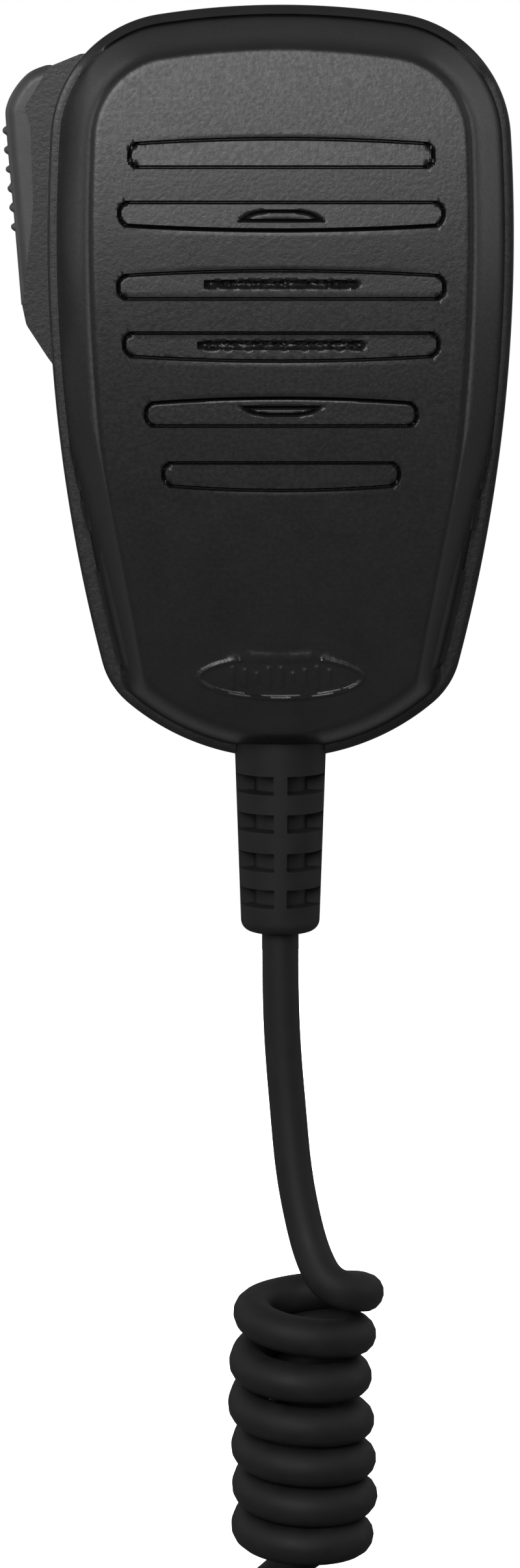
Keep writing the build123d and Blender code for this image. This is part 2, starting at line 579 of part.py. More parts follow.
parts["board_resistors"] = [
    block((x, x + width), (board_top_y - height, board_top_y), (z, z + length)) for x, z in RESISTORS
]
header = block((-HEADER_HALF, HEADER_HALF), (board_top_y - HEADER_HEIGHT, board_top_y), HEADER_Z)
mouth_half = HEADER_HALF - HEADER_WALL
mouth_z = (HEADER_Z[0] - PAST, HEADER_Z[0] + HEADER_MOUTH)
mouth_y = (board_top_y - HEADER_HEIGHT - PAST, board_top_y - HEADER_FLOOR)
parts["cord_header"] = header - block((-mouth_half, mouth_half), mouth_y, mouth_z)

# Wires from the cord's end to the header
wires = []
for index, x in enumerate(WIRE_XS):
    side = -1 if x < 0 else 1
    lift = -1 if index in (0, 3) else 1
    start = (side * WIRE_CORE_OFFSET[0], CORD_Y + lift * WIRE_CORE_OFFSET[1], INNER_END_Z[1])
    path = FilletPolyline(
        start,
        (start[0] * 1.3, CORD_Y, -45.0),
        (x, -17.6, -37.0),
        (x, board_top_y - 3.4, -30.6),
        (x, board_top_y - 3.4, -26.1),
        radius=WIRE_BEND,
    )
    wires.append(sweep(Plane(origin=path @ 0, z_dir=path % 0) * Circle(WIRE_RADIUS), path=path))
parts["cord_wires"] = wires

# Dynamic capsule: can, gasket, film, voice coil, magnet and yoke, in a rubber boot
can = cup(0, CAPSULE_Z, CAPSULE_BACK_Y, CAPSULE_FRONT_Y, CAPSULE_RADIUS, CAN_WALL)
can_holes = [(0.0, 0.0)]
for index in range(CAN_HOLE_COUNT):
    angle = 2 * math.pi * index / CAN_HOLE_COUNT
    can_holes.append((CAN_HOLE_CIRCLE * math.cos(angle), CAN_HOLE_CIRCLE * math.sin(angle)))
for x, up in can_holes:
    can -= rod(x, CAPSULE_Z + up, CAPSULE_FRONT_Y + PAST, CAPSULE_FRONT_Y - PAST, CAN_HOLE_RADIUS)
parts["capsule_can"] = can
parts["capsule_gasket"] = pipe(0, CAPSULE_Z, CAPSULE_FRONT_Y, GASKET_FRONT_Y, *GASKET_RADII)
parts["capsule_diaphragm"] = rod(
    0, CAPSULE_Z, DIAPHRAGM_Y, DIAPHRAGM_Y - DIAPHRAGM_THICK, DIAPHRAGM_RADIUS
)
parts["capsule_voice_coil"] = pipe(0, CAPSULE_Z, VOICE_COIL_BACK_Y, DIAPHRAGM_Y, *VOICE_COIL_RADII)
parts["capsule_magnet"] = rod(0, CAPSULE_Z, MAGNET_Y[1], MAGNET_Y[0], MAGNET_RADIUS)
yoke = rod(0, CAPSULE_Z, CAPSULE_BACK_Y, MAGNET_Y[1], CAPSULE_RADIUS - CAN_WALL)
yoke += rod(0, CAPSULE_Z, MAGNET_Y[1], MAGNET_Y[0], YOKE_RADII[0])
yoke -= rod(0, CAPSULE_Z, MAGNET_Y[1], MAGNET_Y[0] - PAST, YOKE_RADII[1])
parts["capsule_yoke"] = yoke
boot = rod(0, CAPSULE_Z, boss_back_y, CAPSULE_FRONT_Y, CAPSULE_RADIUS + BOOT_WALL)
boot -= rod(0, CAPSULE_Z, CAPSULE_BACK_Y, CAPSULE_FRONT_Y - PAST, CAPSULE_RADIUS)
boot -= rod(0, CAPSULE_Z, boss_back_y + PAST, CAPSULE_BACK_Y - PAST, BOOT_HOLE)
parts["capsule_boot"] = boot

# Bracket that holds the capsule, with its screws, and the dust cloth behind the slots
bracket_y = (boss_back_y, boss_back_y + BRACKET_THICK)
bracket = Pos(0, CAPSULE_Z) * SlotOverall(2 * BRACKET_HALF + BRACKET_WIDTH, BRACKET_WIDTH)
bracket = prism(bracket, bracket_y[1], bracket_y[0])
bracket -= rod(0, CAPSULE_Z, bracket_y[1] + PAST, bracket_y[0] - PAST, BRACKET_HOLE)
bracket_screws = []
for x in (-BRACKET_HALF, BRACKET_HALF):
    bracket -= rod(x, CAPSULE_Z, bracket_y[1] + PAST, bracket_y[0] - PAST, SMALL_SCREW_HOLE)
    screw = rod(x, CAPSULE_Z, bracket_y[1], BRACKET_SCREW_END_Y, SMALL_SCREW_RADIUS)
    screw += rod(x, CAPSULE_Z, bracket_y[1] + SMALL_HEAD_THICK, bracket_y[1], SMALL_HEAD_RADIUS)
    bracket_screws.append(screw)
parts["capsule_bracket"] = bracket
parts["bracket_screws"] = bracket_screws
cloth = through_face(Pos(0, CAPSULE_Z + CLOTH_RISE) * RectangleRounded(*CLOTH_SIZE, CLOTH_CORNER))
cloth_slab = side_profile(WALL + CLOTH_DEPTHS[0]) - side_profile(WALL + CLOTH_DEPTHS[1])
parts["dust_cloth"] = cloth & cloth_slab

# Hang-up button with its screw and washer from inside
head = rod(0, 0, BUTTON_HALF_THICK, -BUTTON_HALF_THICK, BUTTON_RADIUS)
head = chamfer(head.edges(), BUTTON_EDGE)
neck = rod(0, 0, -BUTTON_HALF_THICK, BUTTON_SEAT_Y, BUTTON_NECK_RADIUS)
parts["hang_button"] = head + neck - rod(0, 0, BUTTON_THREAD_END_Y, BUTTON_SEAT_Y - PAST, BUTTON_SCREW_HOLE)
button_screw = rod(0, 0, BUTTON_SCREW_TIP_Y, BUTTON_SCREW_HEAD_Y[1], BUTTON_SCREW_RADIUS)
button_screw += rod(0, 0, BUTTON_SCREW_HEAD_Y[1], BUTTON_SCREW_HEAD_Y[0], BUTTON_SCREW_HEAD_RADIUS)
parts["hang_button_screw"] = button_screw
parts["hang_button_washer"] = pipe(0, 0, WASHER_BACK_Y, BUTTON_SCREW_HEAD_Y[1], *WASHER_RADII)

# Free cord: the lead, the curly length with its hank, the tail and the tie
parts["cord_lead"] = cord_tube(LEAD_ROUTE, "cord_lead")
coil_outer = COIL_RADIUS + CORD_RADIUS
hank_x = COIL_X + 2 * HANK_BEND_RADIUS
fall = Plane.XY.offset(HANK_BEND_Z) * Pos(COIL_X, CORD_Y) * Circle(coil_outer)
rise = Plane.XY.offset(HANK_BEND_Z) * Pos(hank_x, CORD_Y) * Circle(coil_outer)
coil = extrude(fall, amount=COIL_TOP_Z - HANK_BEND_Z) + extrude(rise, amount=HANK_END_Z - HANK_BEND_Z)
bend_axis = Axis((COIL_X + HANK_BEND_RADIUS, CORD_Y, HANK_BEND_Z), (0, 1, 0))
coil += revolve(fall, axis=bend_axis, revolution_arc=-180)
parts["cord_coil"] = coil
parts["cord_tail"] = cord_tube(TAIL_ROUTE, "cord_tail")
tie_inner = coil_outer + TIE_SLACK
tie_sketch = SlotCenterToCenter(2 * HANK_BEND_RADIUS, 2 * (tie_inner + TIE_THICK))
tie_sketch -= SlotCenterToCenter(2 * HANK_BEND_RADIUS, 2 * tie_inner)
tie_place = Plane.XY.offset(TIE_Z[0]) * Pos(COIL_X + HANK_BEND_RADIUS, CORD_Y)
parts["hank_tie"] = extrude(tie_place * tie_sketch, amount=TIE_Z[1] - TIE_Z[0])

# Modular plug: its boot, body with contacts in grooves, and the sprung latch
parts["plug_boot"] = loft(
    [
        Plane.XY.offset(PLUG_TOP_Z) * Pos(PLUG_X, PLUG_Y) * RectangleRounded(*BOOT_LOW_SIZE, BOOT_LOW_CORNER),
        Plane.XY.offset(BOOT_TOP_Z) * Pos(PLUG_X, PLUG_Y) * RectangleRounded(*BOOT_TOP_SIZE, BOOT_TOP_CORNER),
    ]
)
width, thick, length = PLUG_SIZE
plug_low = PLUG_TOP_Z - length
plug_y = (PLUG_FRONT_Y, PLUG_FRONT_Y + thick)
plug = block((PLUG_X - width / 2, PLUG_X + width / 2), plug_y, (plug_low, PLUG_TOP_Z))
plug = fillet(plug.edges().filter_by(Axis.Z), PLUG_EDGE)
contacts = []
contact_top = plug_low + CONTACT_TOP
for index in range(CONTACT_COUNT):
    x = PLUG_X + (index - (CONTACT_COUNT - 1) / 2) * CONTACT_PITCH
    slot_x = (x - CONTACT_SLOT_HALF, x + CONTACT_SLOT_HALF)
    slot_y = (plug_y[0] - PAST, plug_y[0] + CONTACT_DEPTHS[1])
    plug -= block(slot_x, slot_y, (plug_low - PAST, contact_top))
    blade_x = (x - CONTACT_HALF, x + CONTACT_HALF)
    blade_y = (plug_y[0] + CONTACT_DEPTHS[0], plug_y[0] + CONTACT_DEPTHS[1])
    contacts.append(block(blade_x, blade_y, (plug_low + CONTACT_BOTTOM, contact_top)))
base_x = (PLUG_X - LATCH_BASE_HALF, PLUG_X + LATCH_BASE_HALF)
base_y = (plug_y[1] - 0.2, plug_y[1] + LATCH_BASE_THICK)
plug += block(base_x, base_y, (plug_low + LATCH_BASE_Z[0], plug_low + LATCH_BASE_Z[1]))
parts["plug_body"] = plug
parts["plug_contacts"] = contacts
root_y, root_z = plug_y[1] + LATCH_ROOT[0], plug_low + LATCH_ROOT[1]
tip_y, tip_z = plug_y[1] + LATCH_TIP[0], plug_low + LATCH_TIP[1]
tongue = SlotCenterToCenter(math.hypot(tip_y - root_y, tip_z - root_z), 2 * LATCH_RADIUS)
lean = math.degrees(math.atan2(tip_z - root_z, tip_y - root_y))
tongue = Pos((root_y + tip_y) / 2, (root_z + tip_z) / 2) * Rot(0, 0, lean) * tongue
parts["plug_latch"] = extrude(Plane.YZ.offset(PLUG_X - LATCH_WIDTH / 2) * tongue, amount=LATCH_WIDTH)

os.makedirs("parts", exist_ok=True)
for name, shape in parts.items():
    pieces = shape if isinstance(shape, list) else [shape]
    whole = Compound(children=[solid for piece in pieces for solid in Compound([piece]).solids()])
    export_step(whole, f"parts/{name}.step")
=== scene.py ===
"""Looks of a hand microphone with a push-to-talk lever and a curly cord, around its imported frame.

Shapes are worked out in millimetres and stored in metres. +X is right, +Z up and -Y the speaking side.
"""

import bpy
import bmesh
import json
import math
import numpy as np
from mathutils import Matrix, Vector


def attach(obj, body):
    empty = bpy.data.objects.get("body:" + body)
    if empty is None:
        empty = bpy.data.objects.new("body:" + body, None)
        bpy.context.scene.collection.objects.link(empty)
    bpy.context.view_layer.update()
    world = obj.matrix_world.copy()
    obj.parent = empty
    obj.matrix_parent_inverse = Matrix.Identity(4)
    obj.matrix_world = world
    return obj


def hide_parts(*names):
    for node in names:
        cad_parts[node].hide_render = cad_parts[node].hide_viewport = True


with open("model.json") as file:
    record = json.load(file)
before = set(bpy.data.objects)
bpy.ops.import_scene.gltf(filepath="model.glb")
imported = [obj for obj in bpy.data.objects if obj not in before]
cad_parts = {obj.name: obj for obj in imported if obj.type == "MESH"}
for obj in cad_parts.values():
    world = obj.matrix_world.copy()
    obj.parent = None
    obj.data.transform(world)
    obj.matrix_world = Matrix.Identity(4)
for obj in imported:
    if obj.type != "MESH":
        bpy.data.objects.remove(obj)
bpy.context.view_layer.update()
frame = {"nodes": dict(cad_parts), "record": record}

MM = 0.001

# Case: front outline as arcs, and depth
TOP_Z, HALF_WIDTH, WIDEST_Z = 33.0, 29.2, 3.0
SIDE_RADIUS, TOP_RADIUS, CHIN_RADIUS = 210.0, 100.0, 30.0
CHIN_CENTRE_Z = -31.4
TOP_CORNER, CHIN_CORNER = 16.0, 10.0
FRONT_Y, SPLIT_Y, FACE_RADIUS = -35.6, -19.0, 240.0
LIP, LIP_FRONT_Y, SHOULDER_TAPER = 0.8, -20.2, 15.0
WALL = 2.0
FACE_INSET = 6.6
SHOULDER_BLEND, GRIP_BLEND, LEDGE_BLEND = 4.6, 1.6, 0.5
GRIP_START = np.array([28.6, -21.0, -12.0])
GRIP_FACE = np.array([24.9, -34.0, -12.0])
GRIP_END = np.array([17.0, -31.0, -50.0])

# Sunk bars as (height, half length, side that bows: 1 for the top, -1 for the bottom)
BARS = [
    (14.4, 18.7, 1),
    (7.4, 19.9, -1),
    (-1.5, 20.1, 1),
    (-8.4, 19.4, -1),
    (-17.0, 16.8, 1),
    (-24.3, 14.7, -1),
]
BAR_HALF_HEIGHT, BAR_BULGE, BAR_CORNER = 1.6, 0.65, 1.4
BAR_TILT = 0.03

# Depths of the face's grooves against the distance outside each outline
GROOVE_STEPS, GROOVE_DEPTHS = [-0.46, -0.25, -0.17, 0.02], [0.16, 1.1, 1.1, 0.0]
LENS_STEPS, LENS_DEPTHS = [-0.42, -0.24, -0.18, 0.0], [0.05, 0.9, 0.9, 0.0]
SLOT_STEPS, SLOT_DEPTHS = [-0.16, 0.02], [1.0, 0.0]
RIM_STEPS, RIM_HEIGHTS = [-0.65, -0.5, -0.15, 0.0], [0.0, 0.3, 0.3, 0.0]
STROKE_STEPS, STROKE_HEIGHTS = [-0.12, 0.05], [0.16, 0.0]

# Sound slots: lenses as (half length, straight side, bulge), long ones as (height, half length, width)
LENSES = [(5.3, 6.4, 1.5), (5.2, -15.9, -1.3)]
LONG_SLOTS = [(-1.1, 9.4, 0.9), (-8.5, 10.2, 1.0)]
SLOT_FRAY, THREAD_DEPTH = 0.12, 0.35

# Oval badge and the plain strokes in it
BADGE_Z, BADGE_HALF = -49.9, (10.5, 3.0)
STROKES, STROKE_PITCH, STROKE_HALF_WIDTH = 9, 1.5, 0.3
STROKE_SHORTEST, STROKE_GROWTH, STROKE_STEP = 0.5, 1.0, 0.9

# Face grid: spacing of its rows in all, and finer in bands as (from, to, spacing)
ROW_SPACING = 0.42
BADGE_TOP = -43.0
FINE_BANDS = [(-18.0, -15.5, 0.12), (-9.3, -7.6, 0.15), (-2.0, -0.2, 0.15), (6.1, 8.3, 0.12)]
BADGE_ROW_SPACING, BAND_MARGIN = 0.15, 0.05
TOP_BOW_START, CHIN_BOW_START = 17.2, -30.0
BOW_HELD, BOW_FADE_OUTSIDE, BOW_FADE_INSIDE = 0.6, 1.7, 1.8
SHOULDER_INSETS = [6.25, 5.9, 5.6, 5.3, 5.05, 4.8, 4.55, 4.3, 4.05, 3.75, 3.4, 3.0, 2.5, 2.0, 1.6, 1.35]
POLE_Z = -8.0

# Lever
LEVER_EDGE = [(-32.55, -4.2), (-33.3, 5.6), (-34.25, 17.4), (-34.1, 21.0), (-31.8, 24.3), (-28.7, 25.7)]
LEVER_BACK_Y, LEVER_FRONT_Y, LEVER_CORNER, LEVER_CROWN = -7.7, -17.5, 1.3, 0.35
LEVER_INNER_X, LEVER_DEPTH = -27.5, 9.0
RIB_COUNT, RIB_TOP_Z, RIB_PITCH, RIB_RADIUS, RIB_HALF_LENGTH = 6, 17.6, 2.4, 0.5, 3.3

# Strain relief
RELIEF_TOP_Z, RELIEF_SHOULDER_Z, RELIEF_END_Z, RELIEF_ROUND = -58.0, -82.3, -83.8, 1.5
RELIEF_WIDE_Z, RELIEF_WIDE, RELIEF_NARROW = -60.6, 5.8, 5.0
RELIEF_SLOTS, RELIEF_SLOT_HALF, RELIEF_CORE = [-64.4, -69.3, -74.3, -79.0], 1.1, 3.4
FRONT_WEB, SIDE_WEB = 9.6, 8.6

# Hang-up button, strap and plug boot
BUTTON_SIDES = 96
STRAP_Z, STRAP_INNER, STRAP_HALF_THICK, STRAP_HALF_TALL, STRAP_CORNER = -201.5, 9.2, 0.6, 4.5, 0.5
BOOT_LOW_Z, BOOT_TOP_Z, BOOT_PLACE = -216.0, -209.0, (22.2, -5.3, 0.0)
BOOT_GROOVES, BOOT_GROOVE_DEPTH, BOOT_GROOVE_WIDTH = [-214.2, -212.4, -210.6], 0.35, 0.32

# Cord, in metres
CORD_RADIUS = 0.00235
LEAD_ROUTE = [
    (0.0, -0.019, -0.0838),
    (0.0, -0.019, -0.091),
    (0.0003, -0.0191, -0.099),
    (0.001, -0.0195, -0.107),
    (0.0017, -0.0206, -0.115),
    (0.0031, -0.0221, -0.122),
    (0.0043, -0.0238, -0.1257),
    (0.0058, -0.0254, -0.1283),
    (0.0082, -0.0259, -0.1295),
    (0.0103, -0.0234, -0.1303),
    (0.0112, -0.0196, -0.1313),
]
TAIL_ROUTE = [
    (0.0237, -0.019, -0.1869),
    (0.0236, -0.0128, -0.186),
    (0.0234, -0.0076, -0.1896),
    (0.0228, -0.0053, -0.196),
    (0.0224, -0.0052, -0.2026),
    (0.0222, -0.0053, -0.209),
]
COIL_RADIUS, COIL_X, COIL_Y = 0.00695, 0.0027, -0.019
COIL_THICKENING = 1.08
COIL_POINTS = 16
# Turns of the coil: heights and sideways shifts half a turn apart, and the rise of backs and fall of fronts
LOBE_HEIGHTS = [-0.1313, -0.134, -0.137, -0.1407, -0.1426, -0.1464, -0.1485, -0.152,
                -0.1536, -0.1572, -0.1585, -0.1626, -0.1635]
LOBE_SHIFTS = [0.001, 0.0007, 0.00035, 0.00015, -0.0002, 0.0, 0.00015, 0.0004,
               0.0004, 0.0005, 0.0006, 0.0004, 0.0004]
BACK_LIFTS = [-0.0006, 0.0009, 0.0017, 0.0012, 0.0008, 0.0006]
FRONT_DROPS = [0.0, 0.0, 0.0, 0.0, 0.0003, 0.0002]
# One stretched turn, then the hank: turns down, round a bend and up
STRETCHED_TURN = [6.0, 6.2, 6.34, 6.5, 7.0]
STRETCHED_HEIGHTS = [-0.1635, -0.1672, -0.1726, -0.1744, -0.1775]
BEND_Z, RUN_END_Z = -0.228, -0.1869
BEND_RADIUS = 0.014
TURNS_TO_BEND, TURNS_IN_BEND, TURNS_UP = 17.1, 21.9, 30.0

# Lamps as (name, place, aim, size, power, spread in degrees)
MIDDLE = (0.0, -0.02, 0.0)
LAMPS = [
    ("key", (-0.17, -0.8, 0.28), (0.0, -0.03, 0.0), (0.6, 0.4), 0.85, 70.0),
    ("fill_left", (-0.8, -0.5, 0.35), MIDDLE, (0.7, 0.9), 1.1, 180.0),
    ("fill_right", (0.8, -0.5, 0.35), MIDDLE, (0.7, 0.9), 1.0, 180.0),
    ("left", (-0.75, 0.2, 0.12), MIDDLE, (0.3, 0.7), 0.8, 180.0),
    ("right", (0.75, 0.2, 0.12), MIDDLE, (0.3, 0.7), 0.8, 180.0),
    ("back_left", (-0.5, 0.6, 0.3), MIDDLE, (0.35, 0.7), 0.3, 180.0),
    ("back_right", (0.5, 0.6, 0.3), MIDDLE, (0.35, 0.7), 0.3, 180.0),
]

# Brightness of the soft sky against the height of the direction, from straight down (0) to straight up (1)
SKY = [(0.0, 0.17), (0.35, 0.14), (0.44, 0.04), (0.55, 0.05), (0.95, 0.2)]

# ---------------------------------------------------------------- camera, light and floor


def make_camera():
    """A long lens in front of the case, a little above its middle and tipped down."""
    data = bpy.data.cameras.new("camera")
    data.sensor_width = 36.0
    data.lens = 100.0
    data.clip_start, data.clip_end = 0.01, 20.0
    camera = bpy.data.objects.new("camera", data)
    camera.location = (-0.0026, -0.569, 0.0133)
    camera.rotation_euler = (math.radians(90.0 - 8.09), 0.0, 0.0)
    bpy.context.scene.collection.objects.link(camera)
    bpy.context.scene.camera = camera


def make_softbox(name, place, aim, size, power, spread):
    """A rectangular studio lamp at place, turned to face aim, its beam spread over so many degrees."""
    data = bpy.data.lights.new(name, "AREA")
    data.shape = "RECTANGLE"
    data.size, data.size_y = size
    data.energy = power
    data.spread = math.radians(spread)
    lamp = bpy.data.objects.new(name, data)
    lamp.location = place
    lamp.rotation_euler = (Vector(aim) - Vector(place)).to_track_quat("-Z", "Y").to_euler()
    bpy.context.scene.collection.objects.link(lamp)
    return lamp


def make_world():
    """A white room for the camera, and a soft sky for light: pale above and below, dim at the sides."""
    world = bpy.data.worlds.new("room")
    bpy.context.scene.world = world
    world.use_nodes = True
    nodes, links = world.node_tree.nodes, world.node_tree.links
    nodes.clear()
    place = nodes.new("ShaderNodeTexCoord")
    split = nodes.new("ShaderNodeSeparateXYZ")
    height = nodes.new("ShaderNodeMapRange")
    height.inputs["From Min"].default_value = -1.0
    ramp = nodes.new("ShaderNodeValToRGB")
    ramp.color_ramp.elements.remove(ramp.color_ramp.elements[1])
    ramp.color_ramp.elements[0].color = (SKY[0][1], SKY[0][1], SKY[0][1], 1.0)
    for position, grey in SKY[1:]:
        ramp.color_ramp.elements.new(position).color = (grey, grey, grey, 1.0)
    sky = nodes.new("ShaderNodeBackground")
    white = nodes.new("ShaderNodeBackground")
    white.inputs["Color"].default_value = (1.0, 1.0, 1.0, 1.0)
    ray = nodes.new("ShaderNodeLightPath")
    mix = nodes.new("ShaderNodeMixShader")
    out = nodes.new("ShaderNodeOutputWorld")
    links.new(place.outputs["Generated"], split.inputs[0])
    links.new(split.outputs["Z"], height.inputs["Value"])
    links.new(height.outputs["Result"], ramp.inputs["Fac"])
    links.new(ramp.outputs["Color"], sky.inputs["Color"])
    links.new(ray.outputs["Is Camera Ray"], mix.inputs["Fac"])
    links.new(sky.outputs[0], mix.inputs[1])
    links.new(white.outputs[0], mix.inputs[2])
    links.new(mix.outputs[0], out.inputs["Surface"])


# ---------------------------------------------------------------- materials


class Finish:
    """A node material on Object coordinates, with short calls for the nodes that the finishes share."""

    def __init__(self, name, colour, roughness, metallic=0.0, specular=0.5):
        self.material = bpy.data.materials.new(name)
        self.material.use_nodes = True
        self.nodes = self.material.node_tree.nodes
        self.links = self.material.node_tree.links
        self.shader = self.nodes["Principled BSDF"]
        self.set("Base Color", (*colour, 1.0))
        self.set("Roughness", roughness)
        self.set("Metallic", metallic)
        self.set("Specular IOR Level", specular)
        self.place = self.nodes.new("ShaderNodeTexCoord").outputs["Object"]
        self.height = None

    def set(self, socket, value):
        """Puts one value on a socket of the shader."""
        self.shader.inputs[socket].default_value = value

    def stretched(self, scale):
        """Object coordinates scaled apart along X, Y and Z, for brushed or drawn finishes."""
        mapping = self.nodes.new("ShaderNodeMapping")
        mapping.inputs["Scale"].default_value = scale
        self.links.new(self.place, mapping.inputs["Vector"])
        return mapping.outputs["Vector"]

    def noise(self, scale, detail=2.0, roughness=0.5, place=None):
        """Cloudy noise, scale features to the metre."""
        node = self.nodes.new("ShaderNodeTexNoise")
        node.inputs["Scale"].default_value = scale
        node.inputs["Detail"].default_value = detail
        node.inputs["Roughness"].default_value = roughness
        self.links.new(place or self.place, node.inputs["Vector"])
        return node.outputs["Fac"]

    def waves(self, scale, direction, distortion=0.0):
        """Even bands across one axis."""
        node = self.nodes.new("ShaderNodeTexWave")
        node.bands_direction = direction
        node.inputs["Scale"].default_value = scale
        node.inputs["Distortion"].default_value = distortion
        self.links.new(self.place, node.inputs["Vector"])
        return node.outputs["Fac"]

    def spread(self, value, low, high, from_low=0.3, from_high=0.7):
        """The value moved to run from low to high."""
        node = self.nodes.new("ShaderNodeMapRange")
        node.inputs["From Min"].default_value = from_low
        node.inputs["From Max"].default_value = from_high
        node.inputs["To Min"].default_value = low
        node.inputs["To Max"].default_value = high
        self.links.new(value, node.inputs["Value"])
        return node.outputs["Result"]

    def product(self, a, b):
        """Two values multiplied."""
        node = self.nodes.new("ShaderNodeMath")
        node.operation = "MULTIPLY"
        self.links.new(a, node.inputs[0])
        self.links.new(b, node.inputs[1])
        return node.outputs[0]

    def tint(self, value, dark, light):
        """Base colour between two tints, following the value."""
        node = self.nodes.new("ShaderNodeMix")
        node.data_type = "RGBA"
        node.inputs["A"].default_value = (*dark, 1.0)
        node.inputs["B"].default_value = (*light, 1.0)
        self.links.new(value, node.inputs["Factor"])
        self.links.new(node.outputs["Result"], self.shader.inputs["Base Color"])

    def rough(self, value):
        """Roughness that follows the value."""
        self.links.new(value, self.shader.inputs["Roughness"])

    def bump(self, value, height, strength=1.0):
        """Raises the surface by the value times height in metres, on top of earlier bumps."""
        node = self.nodes.new("ShaderNodeBump")
        node.inputs["Distance"].default_value = height
        node.inputs["Strength"].default_value = strength
        self.links.new(value, node.inputs["Height"])
        if self.height is not None:
            self.links.new(self.height, node.inputs["Normal"])
        self.height = node.outputs["Normal"]
        self.links.new(self.height, self.shader.inputs["Normal"])


def shade(colour, factor):
    """A colour made darker or lighter, channel by channel."""
    return tuple(min(1.0, c * factor) for c in colour)


def moulded_plastic(name, colour, roughness, grain_height=0.000035, grain=1900.0):
    """Spark-eroded mould texture: a fine grain over broader cloudiness, rougher where it is high."""
    finish = Finish(name, colour, roughness)
    fine = finish.noise(grain, 3.0, 0.6)
    cloud = finish.noise(grain / 9.0, 3.0)
    finish.tint(finish.spread(cloud, 0.0, 1.0), shade(colour, 0.86), shade(colour, 1.14))
    finish.rough(finish.spread(fine, roughness - 0.05, roughness + 0.07))
    finish.bump(finish.noise(grain / 6.0, 2.0), 0.00003, 0.5)
    finish.bump(fine, grain_height, 0.8)
    return finish


def rubber(name, colour, roughness):
    """Soft moulded rubber or cord jacket: nearly smooth, with faint bloom."""
    finish = Finish(name, colour, roughness, specular=0.3)
    bloom = finish.noise(420.0, 4.0, 0.6)
    finish.tint(finish.spread(bloom, 0.0, 1.0), shade(colour, 0.85), shade(colour, 1.2))
    finish.rough(finish.spread(bloom, roughness - 0.06, roughness + 0.08))
    finish.bump(finish.noise(2600.0, 2.0), 0.00001, 0.6)
    return finish


def turned_metal(name, colour, roughness, line_height=0.000006):
    """Metal with fine lines across the Y axis and slight tarnish."""
    finish = Finish(name, colour, roughness, metallic=1.0)
    rings = finish.noise(500.0, 3.0, 0.6, finish.stretched((0.6, 9.0, 0.6)))
    tarnish = finish.noise(260.0, 4.0)
    finish.tint(finish.spread(tarnish, 0.0, 1.0), shade(colour, 0.78), shade(colour, 1.06))
    finish.rough(finish.spread(rings, roughness - 0.05, roughness + 0.1))
    finish.bump(rings, line_height, 0.7)
    return finish


def circuit_board(name):
    """Green solder mask over copper tracks, which show as slightly raised paler lanes."""
    finish = Finish(name, (0.01, 0.13, 0.055), 0.3)
    lanes = finish.spread(finish.waves(95.0, "X", 2.2), 0.0, 1.0, 0.72, 0.8)
    finish.tint(lanes, (0.006, 0.09, 0.04), (0.02, 0.21, 0.09))
    finish.rough(finish.spread(finish.noise(900.0), 0.24, 0.36))
    finish.bump(lanes, 0.00003)
    finish.set("Coat Weight", 0.4)
    return finish


def woven(name, colour, pitch):
    """Plain weave: two crossed sets of threads with fuzz between."""
    finish = Finish(name, colour, 0.85)
    scale = 0.3 / pitch
    weave = finish.product(finish.waves(scale, "X"), finish.waves(scale, "Z"))
    finish.tint(finish.spread(weave, 0.0, 1.0, 0.0, 1.0), shade(colour, 0.5), shade(colour, 1.6))
    finish.rough(finish.spread(finish.noise(3000.0), 0.78, 0.95))
    finish.bump(weave, 0.00012)
    finish.set("Sheen Weight", 0.4)
    return finish


def winding(name, colour):
    """Fine enamelled wire wound round the Y axis."""
    finish = Finish(name, colour, 0.3, metallic=1.0)
    wires = finish.waves(1600.0, "Y")
    finish.tint(wires, shade(colour, 0.45), colour)
    finish.rough(finish.spread(wires, 0.25, 0.45, 0.0, 1.0))
    finish.bump(wires, 0.00006)
    return finish


def clear_plastic(name):
    """Clear polycarbonate with faint moulding haze and flow lines."""
    finish = Finish(name, (0.86, 0.88, 0.87), 0.12)
    haze = finish.noise(350.0, 3.0)
    finish.set("Transmission Weight", 0.85)
    finish.set("IOR", 1.58)
    finish.tint(finish.spread(haze, 0.0, 1.0), (0.74, 0.77, 0.76), (0.93, 0.95, 0.94))
    finish.rough(finish.spread(haze, 0.06, 0.2))
    finish.bump(finish.noise(700.0, 2.0, 0.5, finish.stretched((1.0, 1.0, 0.2))), 0.00001, 0.5)
    return finish


